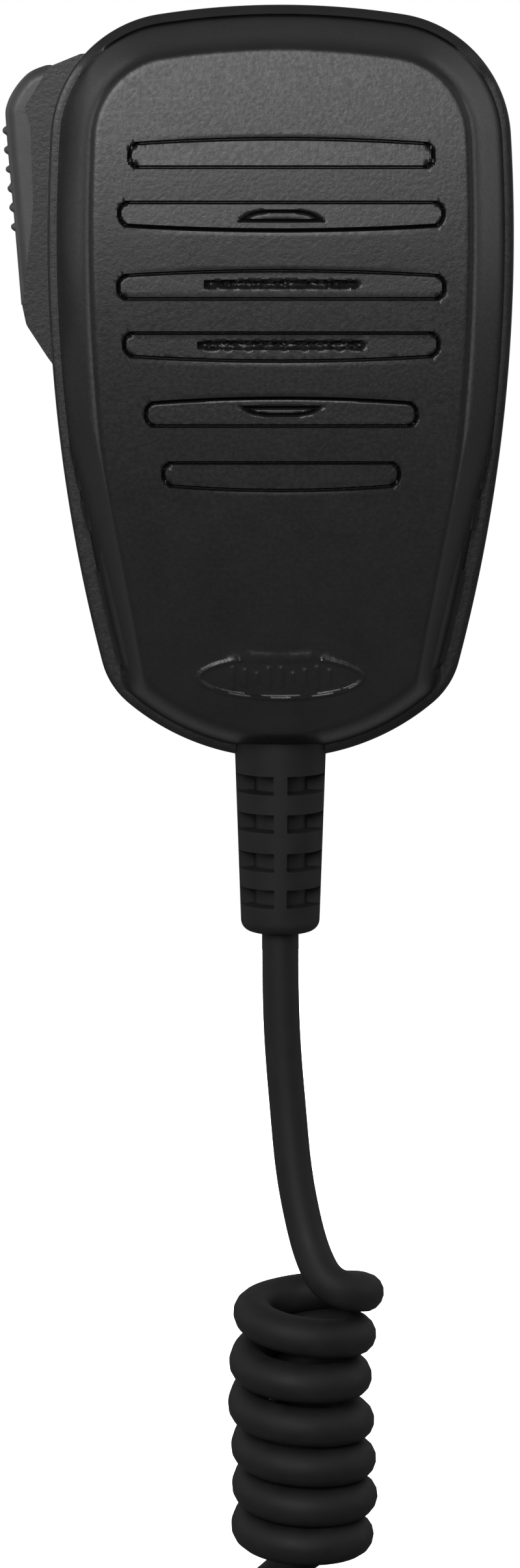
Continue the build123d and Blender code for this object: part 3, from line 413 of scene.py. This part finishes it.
def make_finishes():
    """One finish for each material slot of the record."""
    return {
        "case_plastic": moulded_plastic("case_plastic", (0.013, 0.013, 0.0132), 0.34),
        "lever_plastic": moulded_plastic("lever_plastic", (0.056, 0.056, 0.0565), 0.42, 0.00002),
        "black_rubber": rubber("black_rubber", (0.018, 0.018, 0.018), 0.6),
        "cord_rubber": rubber("cord_rubber", (0.0128, 0.0125, 0.014), 0.62),
        "steel": turned_metal("steel", (0.56, 0.57, 0.6), 0.34),
        "chrome": turned_metal("chrome", (0.72, 0.72, 0.75), 0.14, 0.000003),
        "brass": turned_metal("brass", (0.72, 0.5, 0.2), 0.32),
        "gold": turned_metal("gold", (0.95, 0.68, 0.25), 0.18, 0.000003),
        "copper_wire": winding("copper_wire", (0.68, 0.3, 0.14)),
        "aluminium": turned_metal("aluminium", (0.78, 0.79, 0.82), 0.36),
        "component_black": moulded_plastic("component_black", (0.02, 0.02, 0.022), 0.5, 0.00001),
        "white_nylon": moulded_plastic("white_nylon", (0.78, 0.77, 0.72), 0.45, 0.00001),
        "board_green": circuit_board("board_green"),
        "capacitor_sleeve": moulded_plastic("capacitor_sleeve", (0.03, 0.05, 0.16), 0.25, 0.000008),
        "wire_red": rubber("wire_red", (0.45, 0.03, 0.025), 0.35),
        "black_cloth": woven("black_cloth", (0.014, 0.014, 0.014), 0.0005),
        "tie_strap": woven("tie_strap", (0.03, 0.03, 0.031), 0.0008),
        "clear_plastic": clear_plastic("clear_plastic"),
    }


def make_floor():
    """A white floor below the cord, which neither lights the pieces nor shines in them."""
    mesh = bpy.data.meshes.new("floor")
    mesh.from_pydata([(-6, -6, -0.3), (6, -6, -0.3), (6, 6, -0.3), (-6, 6, -0.3)], [], [(0, 1, 2, 3)])
    finish = Finish("floor", (0.9, 0.9, 0.9), 0.7)
    finish.rough(finish.spread(finish.noise(30.0), 0.65, 0.8))
    finish.set("Emission Color", (1.0, 1.0, 1.0, 1.0))
    finish.set("Emission Strength", 0.9)
    mesh.materials.append(finish.material)
    floor = bpy.data.objects.new("floor", mesh)
    floor.visible_diffuse = False
    floor.visible_glossy = False
    bpy.context.scene.collection.objects.link(floor)
    return floor


# ---------------------------------------------------------------- surfaces


def grid_faces(rows, columns, first=0, closed_rows=False, closed_columns=False):
    """Quads of a rows x columns grid of points from index first on; a closed way joins back on itself."""
    index = first + np.arange(rows * columns).reshape(rows, columns)
    if closed_rows:
        index = np.vstack([index, index[:1]])
    if closed_columns:
        index = np.hstack([index, index[:, :1]])
    corners = (index[:-1, :-1], index[:-1, 1:], index[1:, 1:], index[1:, :-1])
    return np.stack([c.ravel() for c in corners], axis=1).tolist()


def stations(start, stop, spacing, edges=(), ramp=0.0):
    """Rising numbers from start to stop, about spacing apart, one at each end of a ramp at every edge."""
    marks = sorted({start, stop, *(e + s * ramp / 2 for e in edges for s in (-1, 1))})
    marks = [m for m in marks if start <= m <= stop]
    runs = []
    for low, high in zip(marks, marks[1:]):
        steps = max(1, math.ceil((high - low) / spacing))
        runs.append(np.linspace(low, high, steps + 1)[:-1])
    return np.concatenate([*runs, [stop]])


def soft_max(a, b, width):
    """The larger of two heights, rounded over where they are within width of each other."""
    near = np.clip(1.0 - np.abs(a - b) / width, 0.0, 1.0)
    return np.maximum(a, b) + width * near**2 / 4.0


def smooth_step(low, high, value):
    """0 below low, 1 above high, and an S-shaped cubic between."""
    t = np.clip((value - low) / (high - low), 0.0, 1.0)
    return t * t * (3.0 - 2.0 * t)


def curve_through(points, count):
    """A smooth curve through the points: each span is a cubic whose end slopes follow both its neighbours."""
    p = np.array(points, float)
    p = np.vstack([2 * p[0] - p[1], p, 2 * p[-1] - p[-2]])
    at = np.linspace(0, len(points) - 1, count)
    i = np.minimum(at.astype(int), len(points) - 2)
    t = (at - i)[:, None]
    a, b, c, d = p[i], p[i + 1], p[i + 2], p[i + 3]
    return 0.5 * (2 * b + (c - a) * t + (2 * a - 5 * b + 4 * c - d) * t**2 + (3 * b - a - 3 * c + d) * t**3)


def make_piece(name, points, faces, body, slot, sharp, replaced):
    """A closed mesh from points in millimetres, turned outwards, that stands for a CAD node on a body."""
    mesh = bpy.data.meshes.new(name)
    mesh.from_pydata((np.asarray(points) * MM).tolist(), [], faces)
    work = bmesh.new()
    work.from_mesh(mesh)
    bmesh.ops.remove_doubles(work, verts=work.verts, dist=0.000001)
    bmesh.ops.recalc_face_normals(work, faces=work.faces)
    work.to_mesh(mesh)
    work.free()
    mesh.polygons.foreach_set("use_smooth", [True] * len(mesh.polygons))
    mesh.set_sharp_from_angle(angle=math.radians(sharp))
    mesh.materials.append(finishes[slot].material)
    piece = bpy.data.objects.new(name, mesh)
    bpy.context.scene.collection.objects.link(piece)
    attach(piece, body)
    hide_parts(replaced)


def make_tube(name, sections, body, slot, replaced):
    """A piece from a stack of closed sections, skinned between neighbours and capped at both ends."""
    rows, across = sections.shape[:2]
    faces = grid_faces(rows, across, closed_columns=True)
    faces += [list(range(across)), list(range((rows - 1) * across, rows * across))]
    make_piece(name, sections.reshape(-1, 3), faces, body, slot, 40.0, replaced)


# ---------------------------------------------------------------- front case


def circles_meet(first, first_radius, second, second_radius, side):
    """Where two circles meet: to the right of the line from the first centre to the second for side 1."""
    gap = np.array(second) - np.array(first)
    span = np.hypot(*gap)
    along = (span**2 + first_radius**2 - second_radius**2) / (2 * span)
    across = math.sqrt(first_radius**2 - along**2)
    unit = gap / span
    return np.array(first) + along * unit + side * across * np.array([unit[1], -unit[0]])


SIDE = np.array([HALF_WIDTH - SIDE_RADIUS, WIDEST_Z])
TOP = np.array([0.0, TOP_Z - TOP_RADIUS])
CHIN = np.array([0.0, CHIN_CENTRE_Z])
UPPER = circles_meet(SIDE, SIDE_RADIUS - TOP_CORNER, TOP, TOP_RADIUS - TOP_CORNER, -1)
LOWER = circles_meet(SIDE, SIDE_RADIUS - CHIN_CORNER, CHIN, CHIN_RADIUS - CHIN_CORNER, 1)


def heading(start, end):
    """The angle of a line, from +Z towards +X."""
    return math.atan2(end[0] - start[0], end[1] - start[1])


ARC_ENDS = [heading(TOP, UPPER), heading(SIDE, UPPER), heading(SIDE, LOWER), heading(CHIN, LOWER)]
ARC_CENTRES = np.array([TOP, UPPER, SIDE, LOWER, CHIN])
ARC_RADII = np.array([TOP_RADIUS, TOP_CORNER, SIDE_RADIUS, CHIN_CORNER, CHIN_RADIUS])


def outline(turn, inset):
    """The case's outline at the angle that its normal makes with +Z, moved in by inset.

    The right half is five arcs that share tangents, so each point is its arc's centre plus the arc's radius
    less the inset along the normal. Angles past a half turn mirror the right half.
    """
    turn = np.mod(turn, 2 * math.pi)
    mirrored = turn > math.pi
    half = np.where(mirrored, 2 * math.pi - turn, turn)
    arc = np.searchsorted(ARC_ENDS, half)
    reach = ARC_RADII[arc] - inset
    x = ARC_CENTRES[arc, 0] + reach * np.sin(half)
    z = ARC_CENTRES[arc, 1] + reach * np.cos(half)
    return np.where(mirrored, -x, x), z


def turn_table(inset):
    """Angles from 0 to a half turn, close together on every arc, and the outline's points there."""
    ends = [0.0, *ARC_ENDS, math.pi]
    arcs = [np.linspace(a, b, 200, endpoint=False) for a, b in zip(ends, ends[1:])]
    turns = np.concatenate([*arcs, [math.pi]])
    return turns, *outline(turns, inset)


def face_height(z):
    """Y of the bowed face: an arc of FACE_RADIUS seen from the side."""
    return FRONT_Y + FACE_RADIUS - np.sqrt(FACE_RADIUS**2 - z**2)


def grip_height(x, z):
    """Y of the slanted grip plane, mirrored left and right."""
    normal = np.cross(GRIP_FACE - GRIP_START, GRIP_END - GRIP_START)
    rise = normal[0] * (np.abs(x) - GRIP_START[0]) + normal[2] * (z - GRIP_START[2])
    return GRIP_START[1] - rise / normal[1]


def bar_distance(x, z, centre, half, bulge):
    """Distance outside a long bar with rounded ends, one long side bowed; negative inside."""
    bow = bulge * np.clip(1.0 - (x / half) ** 2, 0.0, 1.0)
    top = centre + BAR_HALF_HEIGHT + np.maximum(bow, 0.0)
    bottom = centre - BAR_HALF_HEIGHT + np.minimum(bow, 0.0)
    across = np.abs(z - (top + bottom) / 2) - ((top - bottom) / 2 - BAR_CORNER)
    along = np.abs(x) - (half - BAR_CORNER)
    outside = np.hypot(np.maximum(across, 0.0), np.maximum(along, 0.0))
    return outside + np.minimum(np.maximum(across, along), 0.0) - BAR_CORNER


def lens_distance(x, z, half, flat_z, bulge):
    """Distance outside a slot with one straight side and one that rises to bulge at the middle."""
    share = np.clip(np.abs(x / half), 0.0, 1.0)
    edge = flat_z + bulge * (1.0 - share**4)
    steep = 1.0 / np.hypot(1.0, 4.0 * bulge * share**3 / half)
    out = np.sign(bulge)
    return np.maximum(np.maximum(out * (z - edge) * steep, out * (flat_z - z)), np.abs(x) - half)


def slot_distance(x, z, centre, half, height):
    """Distance outside a long slot with round ends, whose edges waver where cloth shows through."""
    frayed = height / 2 + SLOT_FRAY * np.sin(5.1 * x) * np.sin(2.3 * x + 1.0)
    return np.hypot(np.maximum(np.abs(x) - half + height / 2, 0.0), z - centre) - frayed


def face_relief(x, z):
    """How far the face is sunk at a point by its bars and sound slots, less what the badge stands out."""
    depth = np.zeros_like(x)
    for centre, half, side in BARS:
        away = bar_distance(x, z, centre, half, side * BAR_BULGE)
        floor_lean = np.where(away < GROOVE_STEPS[0], BAR_TILT * (z - centre), 0.0)
        depth = np.maximum(depth, np.interp(away, GROOVE_STEPS, GROOVE_DEPTHS) + floor_lean)
    for half, flat_z, bulge in LENSES:
        depth += np.interp(lens_distance(x, z, half, flat_z, bulge), LENS_STEPS, LENS_DEPTHS)
    for centre, half, height in LONG_SLOTS:
        threads = THREAD_DEPTH * np.sin(9.0 * x + 2.0 * np.sin(3.0 * x)) * np.cos(11.0 * z)
        sunk = np.interp(slot_distance(x, z, centre, half, height), SLOT_STEPS, SLOT_DEPTHS)
        depth += sunk * (1.0 + threads)
    return depth - badge_relief(x, z - BADGE_Z)


def badge_relief(x, drop):
    """How far the badge stands out: a rim inside an oval, and upright strokes of uneven height.

    The distance to the oval is its implicit equation's square root less one, divided by that root's slope.
    """
    a, b = BADGE_HALF
    ratio = np.maximum(np.hypot(x / a, drop / b), 1e-6)
    rim = (ratio - 1.0) * ratio / np.maximum(np.hypot(x / a**2, drop / b**2), 1e-6)
    height = np.interp(rim, RIM_STEPS, RIM_HEIGHTS)
    for index in range(STROKES):
        offset = (index - STROKES // 2) * STROKE_PITCH
        tall = STROKE_SHORTEST + STROKE_GROWTH * abs(math.cos(index * STROKE_STEP))
        stroke = np.maximum(np.abs(x - offset) - STROKE_HALF_WIDTH, np.abs(drop) - tall)
        height += np.interp(stroke, STROKE_STEPS, STROKE_HEIGHTS)
    return height


def case_height(x, z, inset):
    """Y of the front case at an inset: face, tapered flank and grip plane, each rounded into the next."""
    flank = SPLIT_Y - (inset - LIP) / math.tan(math.radians(SHOULDER_TAPER))
    y = soft_max(face_height(z), flank, SHOULDER_BLEND)
    y = soft_max(y, grip_height(x, z), GRIP_BLEND)
    return -soft_max(-y, -LIP_FRONT_Y, LEDGE_BLEND)


def face_rows(low, high):
    """Heights of the face grid's rows, from the top down, with one on each side of every groove's steps."""
    edges = []
    for centre, _, _ in BARS:
        for step in GROOVE_STEPS:
            edges += [centre + BAR_HALF_HEIGHT + step, centre - BAR_HALF_HEIGHT - step]
    rows = stations(low, high, ROW_SPACING, edges)
    for start, stop, spacing in [(low, BADGE_TOP, BADGE_ROW_SPACING), *FINE_BANDS]:
        inside = (rows > start - BAND_MARGIN) & (rows < stop + BAND_MARGIN)
        rows = np.sort(np.concatenate([rows[~inside], np.arange(start, stop, spacing)]))
    return rows[::-1]


def face_columns():
    """The face grid's columns from -1 at the left edge to 1, finer where bars end and at the edges."""
    bar_ends = np.arange(0.64, 0.9, 0.0065)
    middle = np.arange(-0.63, 0.631, 0.014)
    edge = np.arange(-1.0, -0.9, 0.0132)
    return np.concatenate([edge, -bar_ends[::-1], middle, bar_ends, -edge[::-1]])


def bow_rows(x, level):
    """Lift that carries the rows near a bar's bowed side along its bow, fading out above and below."""
    lift = np.zeros_like(x)
    for centre, half, side in BARS:
        away = side * (level - centre - side * BAR_HALF_HEIGHT)
        outside, inside = 1.0 - away / BOW_FADE_OUTSIDE, 1.0 + (away + BOW_HELD) / BOW_FADE_INSIDE
        share = np.clip(np.where(away > 0, outside, inside), 0.0, 1.0)
        lift += side * BAR_BULGE * np.clip(1.0 - (x / half) ** 2, 0.0, 1.0) * share
    return lift


def case_rings(around):
    """Rings of the outline at the angles around: down the shoulder, round the lip and in to a pole."""
    rings = []
    for inset in SHOULDER_INSETS:
        ring_x, ring_z = outline(around, inset)
        rings.append((ring_x, case_height(ring_x, ring_z, inset), ring_z))
    lip = [(1.15, LIP_FRONT_Y), (0.9, LIP_FRONT_Y), (0.3, LIP_FRONT_Y), (0.1, -20.12), (0.0, -19.9),
           (0.0, -19.3), (0.06, -19.12), (0.22, -19.02), (0.5, SPLIT_Y), (WALL, SPLIT_Y), (WALL + 1.2, -24.0)]
    at_top = smooth_step(0.5, 0.9, np.cos(around))
    for inset, lip_y in lip:
        ring_x, ring_z = outline(around, inset)
        bevel = np.minimum(lip_y, -19.9 - 1.3 * inset) if lip_y < -20.0 else lip_y
        rings.append((ring_x, lip_y + at_top * (bevel - lip_y), ring_z))
    inner_x, inner_z = outline(around, FACE_INSET + 1.0)
    for share in (1.0, 0.75, 0.5, 0.25, 0.0):
        ring_x, ring_z = inner_x * share, POLE_Z + (inner_z - POLE_Z) * share
        behind_face = soft_max(face_height(ring_z), grip_height(ring_x, ring_z), GRIP_BLEND)
        rings.append((ring_x, behind_face + WALL, ring_z))
    return np.stack([np.stack(ring, axis=1) for ring in rings])


def make_front_case():
    """The front case as one closed shell.

    Its face is a grid whose columns fan with the outline and whose rows run straight through the bars and bow
    into the top and the chin. Round that grid go rings of the outline, inset by inset, down the shoulder and
    flank to the lip, under it and back up the inside, to a pole behind the face.
    """
    turns, table_x, table_z = turn_table(FACE_INSET)
    top_turn = (ARC_ENDS[0] + ARC_ENDS[1]) / 2
    chin_turn = (ARC_ENDS[2] + ARC_ENDS[3]) / 2
    corner_turns = [top_turn, chin_turn]
    top_x, chin_x = np.interp(corner_turns, turns, table_x)
    top_z, chin_z = np.interp(corner_turns, turns, table_z)
    levels, columns = face_rows(chin_z, top_z), face_columns()
    level, column = np.meshgrid(levels, columns, indexing="ij")
    x = column * np.interp(level, table_z[::-1], table_x[::-1])
    upper, lower = turns < math.pi / 2, turns > math.pi / 2
    top_rise = np.interp(np.abs(column) * top_x, table_x[upper], table_z[upper]) - top_z
    chin_drop = np.interp(np.abs(column) * chin_x, table_x[lower][::-1], table_z[lower][::-1]) - chin_z
    z = level + smooth_step(TOP_BOW_START, top_z, level) * top_rise
    z = z + smooth_step(CHIN_BOW_START, chin_z, level) * chin_drop + bow_rows(x, level)
    y = soft_max(face_height(z), grip_height(x, z), GRIP_BLEND) + face_relief(x, z)
    rows, across = x.shape
    face = np.stack([x, y, z], axis=2).reshape(-1, 3)
    index = np.arange(rows * across).reshape(rows, across)
    loop = np.concatenate([index[0], index[1:, -1], index[-1, -2::-1], index[-2:0:-1, 0]])
    top_turns = np.interp(np.abs(columns) * top_x, table_x[upper], turns[upper])
    chin_turns = np.interp(np.abs(columns) * chin_x, table_x[lower][::-1], turns[lower][::-1])
    middle = (turns >= top_turn) & (turns <= chin_turn)
    side_turns = np.interp(levels, table_z[middle][::-1], turns[middle][::-1])
    around = np.concatenate([
        np.sign(columns) * top_turns,
        side_turns[1:],
        (np.sign(columns) * chin_turns)[-2::-1],
        -side_turns[-2:0:-1],
    ])
    rings = case_rings(around)
    ring = rows * across + np.arange(len(loop))
    seam = np.stack([loop, np.roll(loop, -1), np.roll(ring, -1), ring], axis=1)
    faces = grid_faces(rows, across) + seam.tolist()
    faces += grid_faces(len(rings), len(loop), rows * across, closed_columns=True)
    points = np.vstack([face, rings.reshape(-1, 3)])
    make_piece("front_shell", points, faces, "microphone", "case_plastic", 60.0, "front_case")


# ---------------------------------------------------------------- lever, relief, button, tie and boot


def make_lever():
    """The push-to-talk lever: a rounded box section carried up its bowed outer edge, with six grip ribs.

    Each section runs from the inner side out along the back wall, round a 1.3 mm corner, across the bowed
    outside, round the front corner and back in. A rib adds a half round to the outside.
    """
    edge = curve_through(LEVER_EDGE, 240)
    slope = np.gradient(edge, axis=0)
    normal = np.stack([-slope[:, 1], slope[:, 0]], axis=1) / np.linalg.norm(slope, axis=1)[:, None]
    back, front, corner = LEVER_BACK_Y, LEVER_FRONT_Y, LEVER_CORNER
    middle = (back + front) / 2
    bend = np.linspace(0, math.pi / 2, 9)
    flat = np.linspace(back - corner, front + corner, 20)[1:-1]
    round_back, round_front = corner * (1 - np.cos(bend)), corner * (1 - np.cos(bend[::-1]))
    y = np.concatenate([[back, back], back - round_back, flat, front + round_front, [front, front]])
    sunk_back, sunk_front = corner * (1 - np.sin(bend)), corner * (1 - np.sin(bend[::-1]))
    sides = [LEVER_DEPTH, LEVER_DEPTH / 3]
    sunk = np.concatenate([sides, sunk_back, np.zeros_like(flat), sunk_front, sides[::-1]])
    crown = LEVER_CROWN * (1.0 - ((y - middle) / (back - middle)) ** 2)
    ridge = np.zeros((len(edge), len(y)))
    beyond = np.maximum(np.abs(y - middle) - RIB_HALF_LENGTH, 0.0)
    for index in range(RIB_COUNT):
        far = np.hypot(edge[:, 1:] - (RIB_TOP_Z - RIB_PITCH * index), beyond[None, :])
        ridge = np.maximum(ridge, np.sqrt(np.maximum(RIB_RADIUS**2 - far**2, 0.0)))
    depth = sunk[None, :] - ridge - crown[None, :] * (sunk[None, :] < 1.4)
    x = edge[:, :1] - normal[:, :1] * depth
    z = edge[:, 1:] - normal[:, 1:] * depth
    at_root = sunk[None, :] == LEVER_DEPTH
    x = np.minimum(np.where(at_root, LEVER_INNER_X, x), LEVER_INNER_X)
    z = np.where(at_root, edge[:, 1:], np.clip(z, edge[0, 1], edge[-1, 1]))
    points = np.stack([x, np.broadcast_to(y, x.shape), z], axis=2)
    make_tube("thumb_lever", points, "ptt", "lever_plastic", "ptt_lever")


def make_strain_relief():
    """The tapered relief: a turned body with four rows of slots between webs at the front, back and sides."""
    slot_edges = [z + side * RELIEF_SLOT_HALF for z in RELIEF_SLOTS for side in (-1, 1)]
    level = stations(RELIEF_SHOULDER_Z, -59.0, 0.5, slot_edges, 0.16)[::-1]
    radius = np.interp(level, [RELIEF_END_Z, RELIEF_WIDE_Z], [RELIEF_NARROW, RELIEF_WIDE])
    bend = np.linspace(0, math.pi / 2, 8)[1:]
    rounded = radius[-1] - RELIEF_ROUND * (1 - np.cos(bend))
    falling = RELIEF_SHOULDER_Z - RELIEF_ROUND * np.sin(bend)
    level = np.concatenate([[RELIEF_TOP_Z], level, falling, [RELIEF_END_Z]])
    radius = np.concatenate([[0.0], radius, rounded, [0.0]])
    webs = [(0.0, FRONT_WEB), (90.0, SIDE_WEB), (180.0, FRONT_WEB), (270.0, SIDE_WEB), (360.0, FRONT_WEB)]
    web_edges = [turn + side * half for turn, half in webs for side in (-1, 1)]
    angle = stations(0.0, 360.0, 2.6, web_edges, 1.6)[:-1]
    nearest = np.min([np.abs(level - z) for z in RELIEF_SLOTS], axis=0)
    open_row = np.interp(nearest, [RELIEF_SLOT_HALF - 0.08, RELIEF_SLOT_HALF + 0.08], [1.0, 0.0])
    past_web = np.min([np.abs(angle - turn) - half for turn, half in webs], axis=0)
    open_column = np.interp(past_web, [-0.8, 0.8], [0.0, 1.0])
    reach = radius[:, None] - open_row[:, None] * open_column[None, :] * (radius[:, None] - RELIEF_CORE)
    turn = np.radians(angle)[None, :]
    height = np.broadcast_to(level[:, None], reach.shape)
    points = np.stack([reach * np.sin(turn), SPLIT_Y - reach * np.cos(turn), height], axis=2)
    faces = grid_faces(*reach.shape, closed_columns=True)
    make_piece("cord_boot", points.reshape(-1, 3), faces, "microphone", "cord_rubber", 40.0, "strain_relief")


def rounded_box(half_x, half_z, corner, count):
    """Points round a box with round corners: a corner's centre plus its radius at each angle."""
    turn = np.linspace(0, 2 * math.pi, count, endpoint=False) + math.pi / count
    return (np.sign(np.cos(turn)) * (half_x - corner) + corner * np.cos(turn),
            np.sign(np.sin(turn)) * (half_z - corner) + corner * np.sin(turn))


def make_tie():
    """The strap round the hank: a thin rounded section carried round both runs of coil."""
    half_gap = BEND_RADIUS / MM
    centre_x = COIL_X / MM + half_gap
    turn = np.linspace(0, 2 * math.pi, 120, endpoint=False)
    path_x = centre_x + np.sign(np.cos(turn)) * half_gap
    across, up = rounded_box(STRAP_HALF_THICK, STRAP_HALF_TALL, STRAP_CORNER, 24)
    reach = STRAP_INNER + STRAP_HALF_THICK + across[None, :]
    x = path_x[:, None] + reach * np.cos(turn)[:, None]
    y = SPLIT_Y + reach * np.sin(turn)[:, None]
    z = np.broadcast_to(STRAP_Z + up[None, :], x.shape)
    points = np.stack([x, y, z], axis=2).reshape(-1, 3)
    faces = grid_faces(*x.shape, closed_rows=True, closed_columns=True)
    make_piece("strap", points, faces, "microphone", "tie_strap", 50.0, "hank_tie")


def make_plug_boot():
    """The plug's rubber boot: a rounded section that widens towards the plug, with three shallow grooves."""
    level = stations(BOOT_LOW_Z, BOOT_TOP_Z, 0.22)
    share = (level - BOOT_LOW_Z) / (BOOT_TOP_Z - BOOT_LOW_Z)
    away = (level[:, None] - np.array(BOOT_GROOVES)) / BOOT_GROOVE_WIDTH
    groove = BOOT_GROOVE_DEPTH * np.exp(-(away**2)).sum(axis=1)
    rings = []
    for z, s, g in zip(level, share, groove):
        x, y = rounded_box(4.8 - 1.4 * s - g, 3.6 - 0.4 * s - g, 2.0 + 1.0 * s, 64)
        rings.append(np.stack([x, y, np.full_like(x, z)], axis=1))
    points = np.stack(rings) + np.array(BOOT_PLACE)
    make_tube("boot_of_plug", points, "microphone", "cord_rubber", "plug_boot")


def make_hang_button():
    """The hang-up button: a dished head with chamfered edges on a neck with a root fillet, turned about Y.

    The profile is (radius, distance along Y), and each point goes round the axis in even steps.
    """
    bend = np.linspace(0, math.pi / 2, 7)
    root = [(3.0 + 0.5 * (1 - math.cos(b)), -4.2 - 0.5 * math.sin(b)) for b in bend]
    dished = [(0.0, 1.05), (2.0, 1.08), (3.6, 1.2), (4.6, 1.3)]
    rim = [(5.1, 1.3), (5.4, 1.05), (5.5, 0.85), (5.5, -0.85), (5.4, -1.1), (5.1, -1.3)]
    neck = [(3.4, -1.3), (3.1, -1.4), (3.0, -1.7)]
    profile = np.array([*dished, *rim, *neck, *root, (0.0, -4.9)])
    radius, along = profile[:, :1], np.repeat(profile[:, 1:], BUTTON_SIDES, axis=1)
    turn = np.linspace(0, 2 * math.pi, BUTTON_SIDES, endpoint=False)
    points = np.stack([radius * np.cos(turn), along, radius * np.sin(turn)], axis=2).reshape(-1, 3)
    faces = grid_faces(len(profile), BUTTON_SIDES, closed_columns=True)
    make_piece("button", points, faces, "microphone", "chrome", 35.0, "hang_button")


# ---------------------------------------------------------------- cord


def coil_point(turns):
    """A point of the curly cord after so many turns: a circle round a spine that drops, bends and climbs."""
    shrink = 0.75 + 0.25 * math.cos(2 * math.pi / COIL_POINTS)
    radius = COIL_RADIUS / shrink
    inward = 1.0
    drop = 0.0
    phase = 2 * math.pi * turns
    if turns < STRETCHED_TURN[0]:
        lobes = range(len(LOBE_HEIGHTS))
        x = COIL_X + float(np.interp(2 * turns, lobes, LOBE_SHIFTS))
        z = float(np.interp(2 * turns, lobes, LOBE_HEIGHTS))
        z += BACK_LIFTS[int(turns)] * max(math.sin(phase), 0.0)
        z += FRONT_DROPS[int(turns)] * min(math.sin(phase), 0.0)
    elif turns <= STRETCHED_TURN[-1]:
        x, z = COIL_X, float(np.interp(turns, STRETCHED_TURN, STRETCHED_HEIGHTS))
    elif turns <= TURNS_TO_BEND:
        share = (turns - STRETCHED_TURN[-1]) / (TURNS_TO_BEND - STRETCHED_TURN[-1])
        x, z = COIL_X, STRETCHED_HEIGHTS[-1] + share * (BEND_Z - STRETCHED_HEIGHTS[-1])
    elif turns <= TURNS_IN_BEND:
        swing = math.pi * (turns - TURNS_TO_BEND) / (TURNS_IN_BEND - TURNS_TO_BEND)
        x = COIL_X + BEND_RADIUS * (1 - math.cos(swing))
        z = BEND_Z - BEND_RADIUS * math.sin(swing)
        inward, drop = math.cos(swing), math.sin(swing)
    else:
        share = (turns - TURNS_IN_BEND) / (TURNS_UP - TURNS_IN_BEND)
        x, z = COIL_X + 2 * BEND_RADIUS, BEND_Z + share * (RUN_END_Z - BEND_Z)
        inward = -1.0
    out = radius * math.cos(phase)
    return (x + out * inward, COIL_Y + radius * math.sin(phase), z + out * drop)


def make_cord():
    """The whole cord as one smooth spline: the lead, the curly turns of its hank and the tail to the plug."""
    points = list(LEAD_ROUTE)
    for step in range(1, int(TURNS_UP * COIL_POINTS)):
        points.append(coil_point(step / COIL_POINTS))
    points += TAIL_ROUTE
    curve = bpy.data.curves.new("cord", "CURVE")
    curve.dimensions = "3D"
    spline = curve.splines.new("NURBS")
    spline.points.add(len(points) - 1)
    for index, (target, point) in enumerate(zip(spline.points, points)):
        target.co = (*point, 1.0)
        target.radius = float(np.interp(index, (5, 9, len(points) - 7, len(points) - 5),
                                        (1.0, COIL_THICKENING, COIL_THICKENING, 1.0)))
    spline.order_u = 3
    spline.use_endpoint_u = True
    curve.resolution_u = 4
    curve.bevel_depth = CORD_RADIUS
    curve.bevel_resolution = 6
    curve.use_fill_caps = True
    curve.materials.append(finishes["cord_rubber"].material)
    cord = bpy.data.objects.new("cord", curve)
    bpy.context.scene.collection.objects.link(cord)
    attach(cord, "microphone")
    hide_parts("cord_lead", "cord_coil", "cord_tail")
    return cord


# ---------------------------------------------------------------- the object


make_camera()
finishes = make_finishes()
cord = make_cord()
make_front_case()
make_lever()
make_strain_relief()
make_hang_button()
make_tie()
make_plug_boot()
slot_of = {part["node"]: part["material_slot"] for part in frame["record"]["subparts"]}
for name, node in frame["nodes"].items():
    node.data.materials.clear()
    node.data.materials.append(finishes[slot_of[name]].material)

make_world()
for lamp in LAMPS:
    make_softbox(*lamp)
behind = make_softbox("behind", (0.1, 1.1, 0.1), (0.0, -0.02, -0.05), (0.9, 0.9), 18.0, 180.0)
behind.visible_glossy = False
make_floor()
bpy.context.scene.view_settings.view_transform = "Standard"
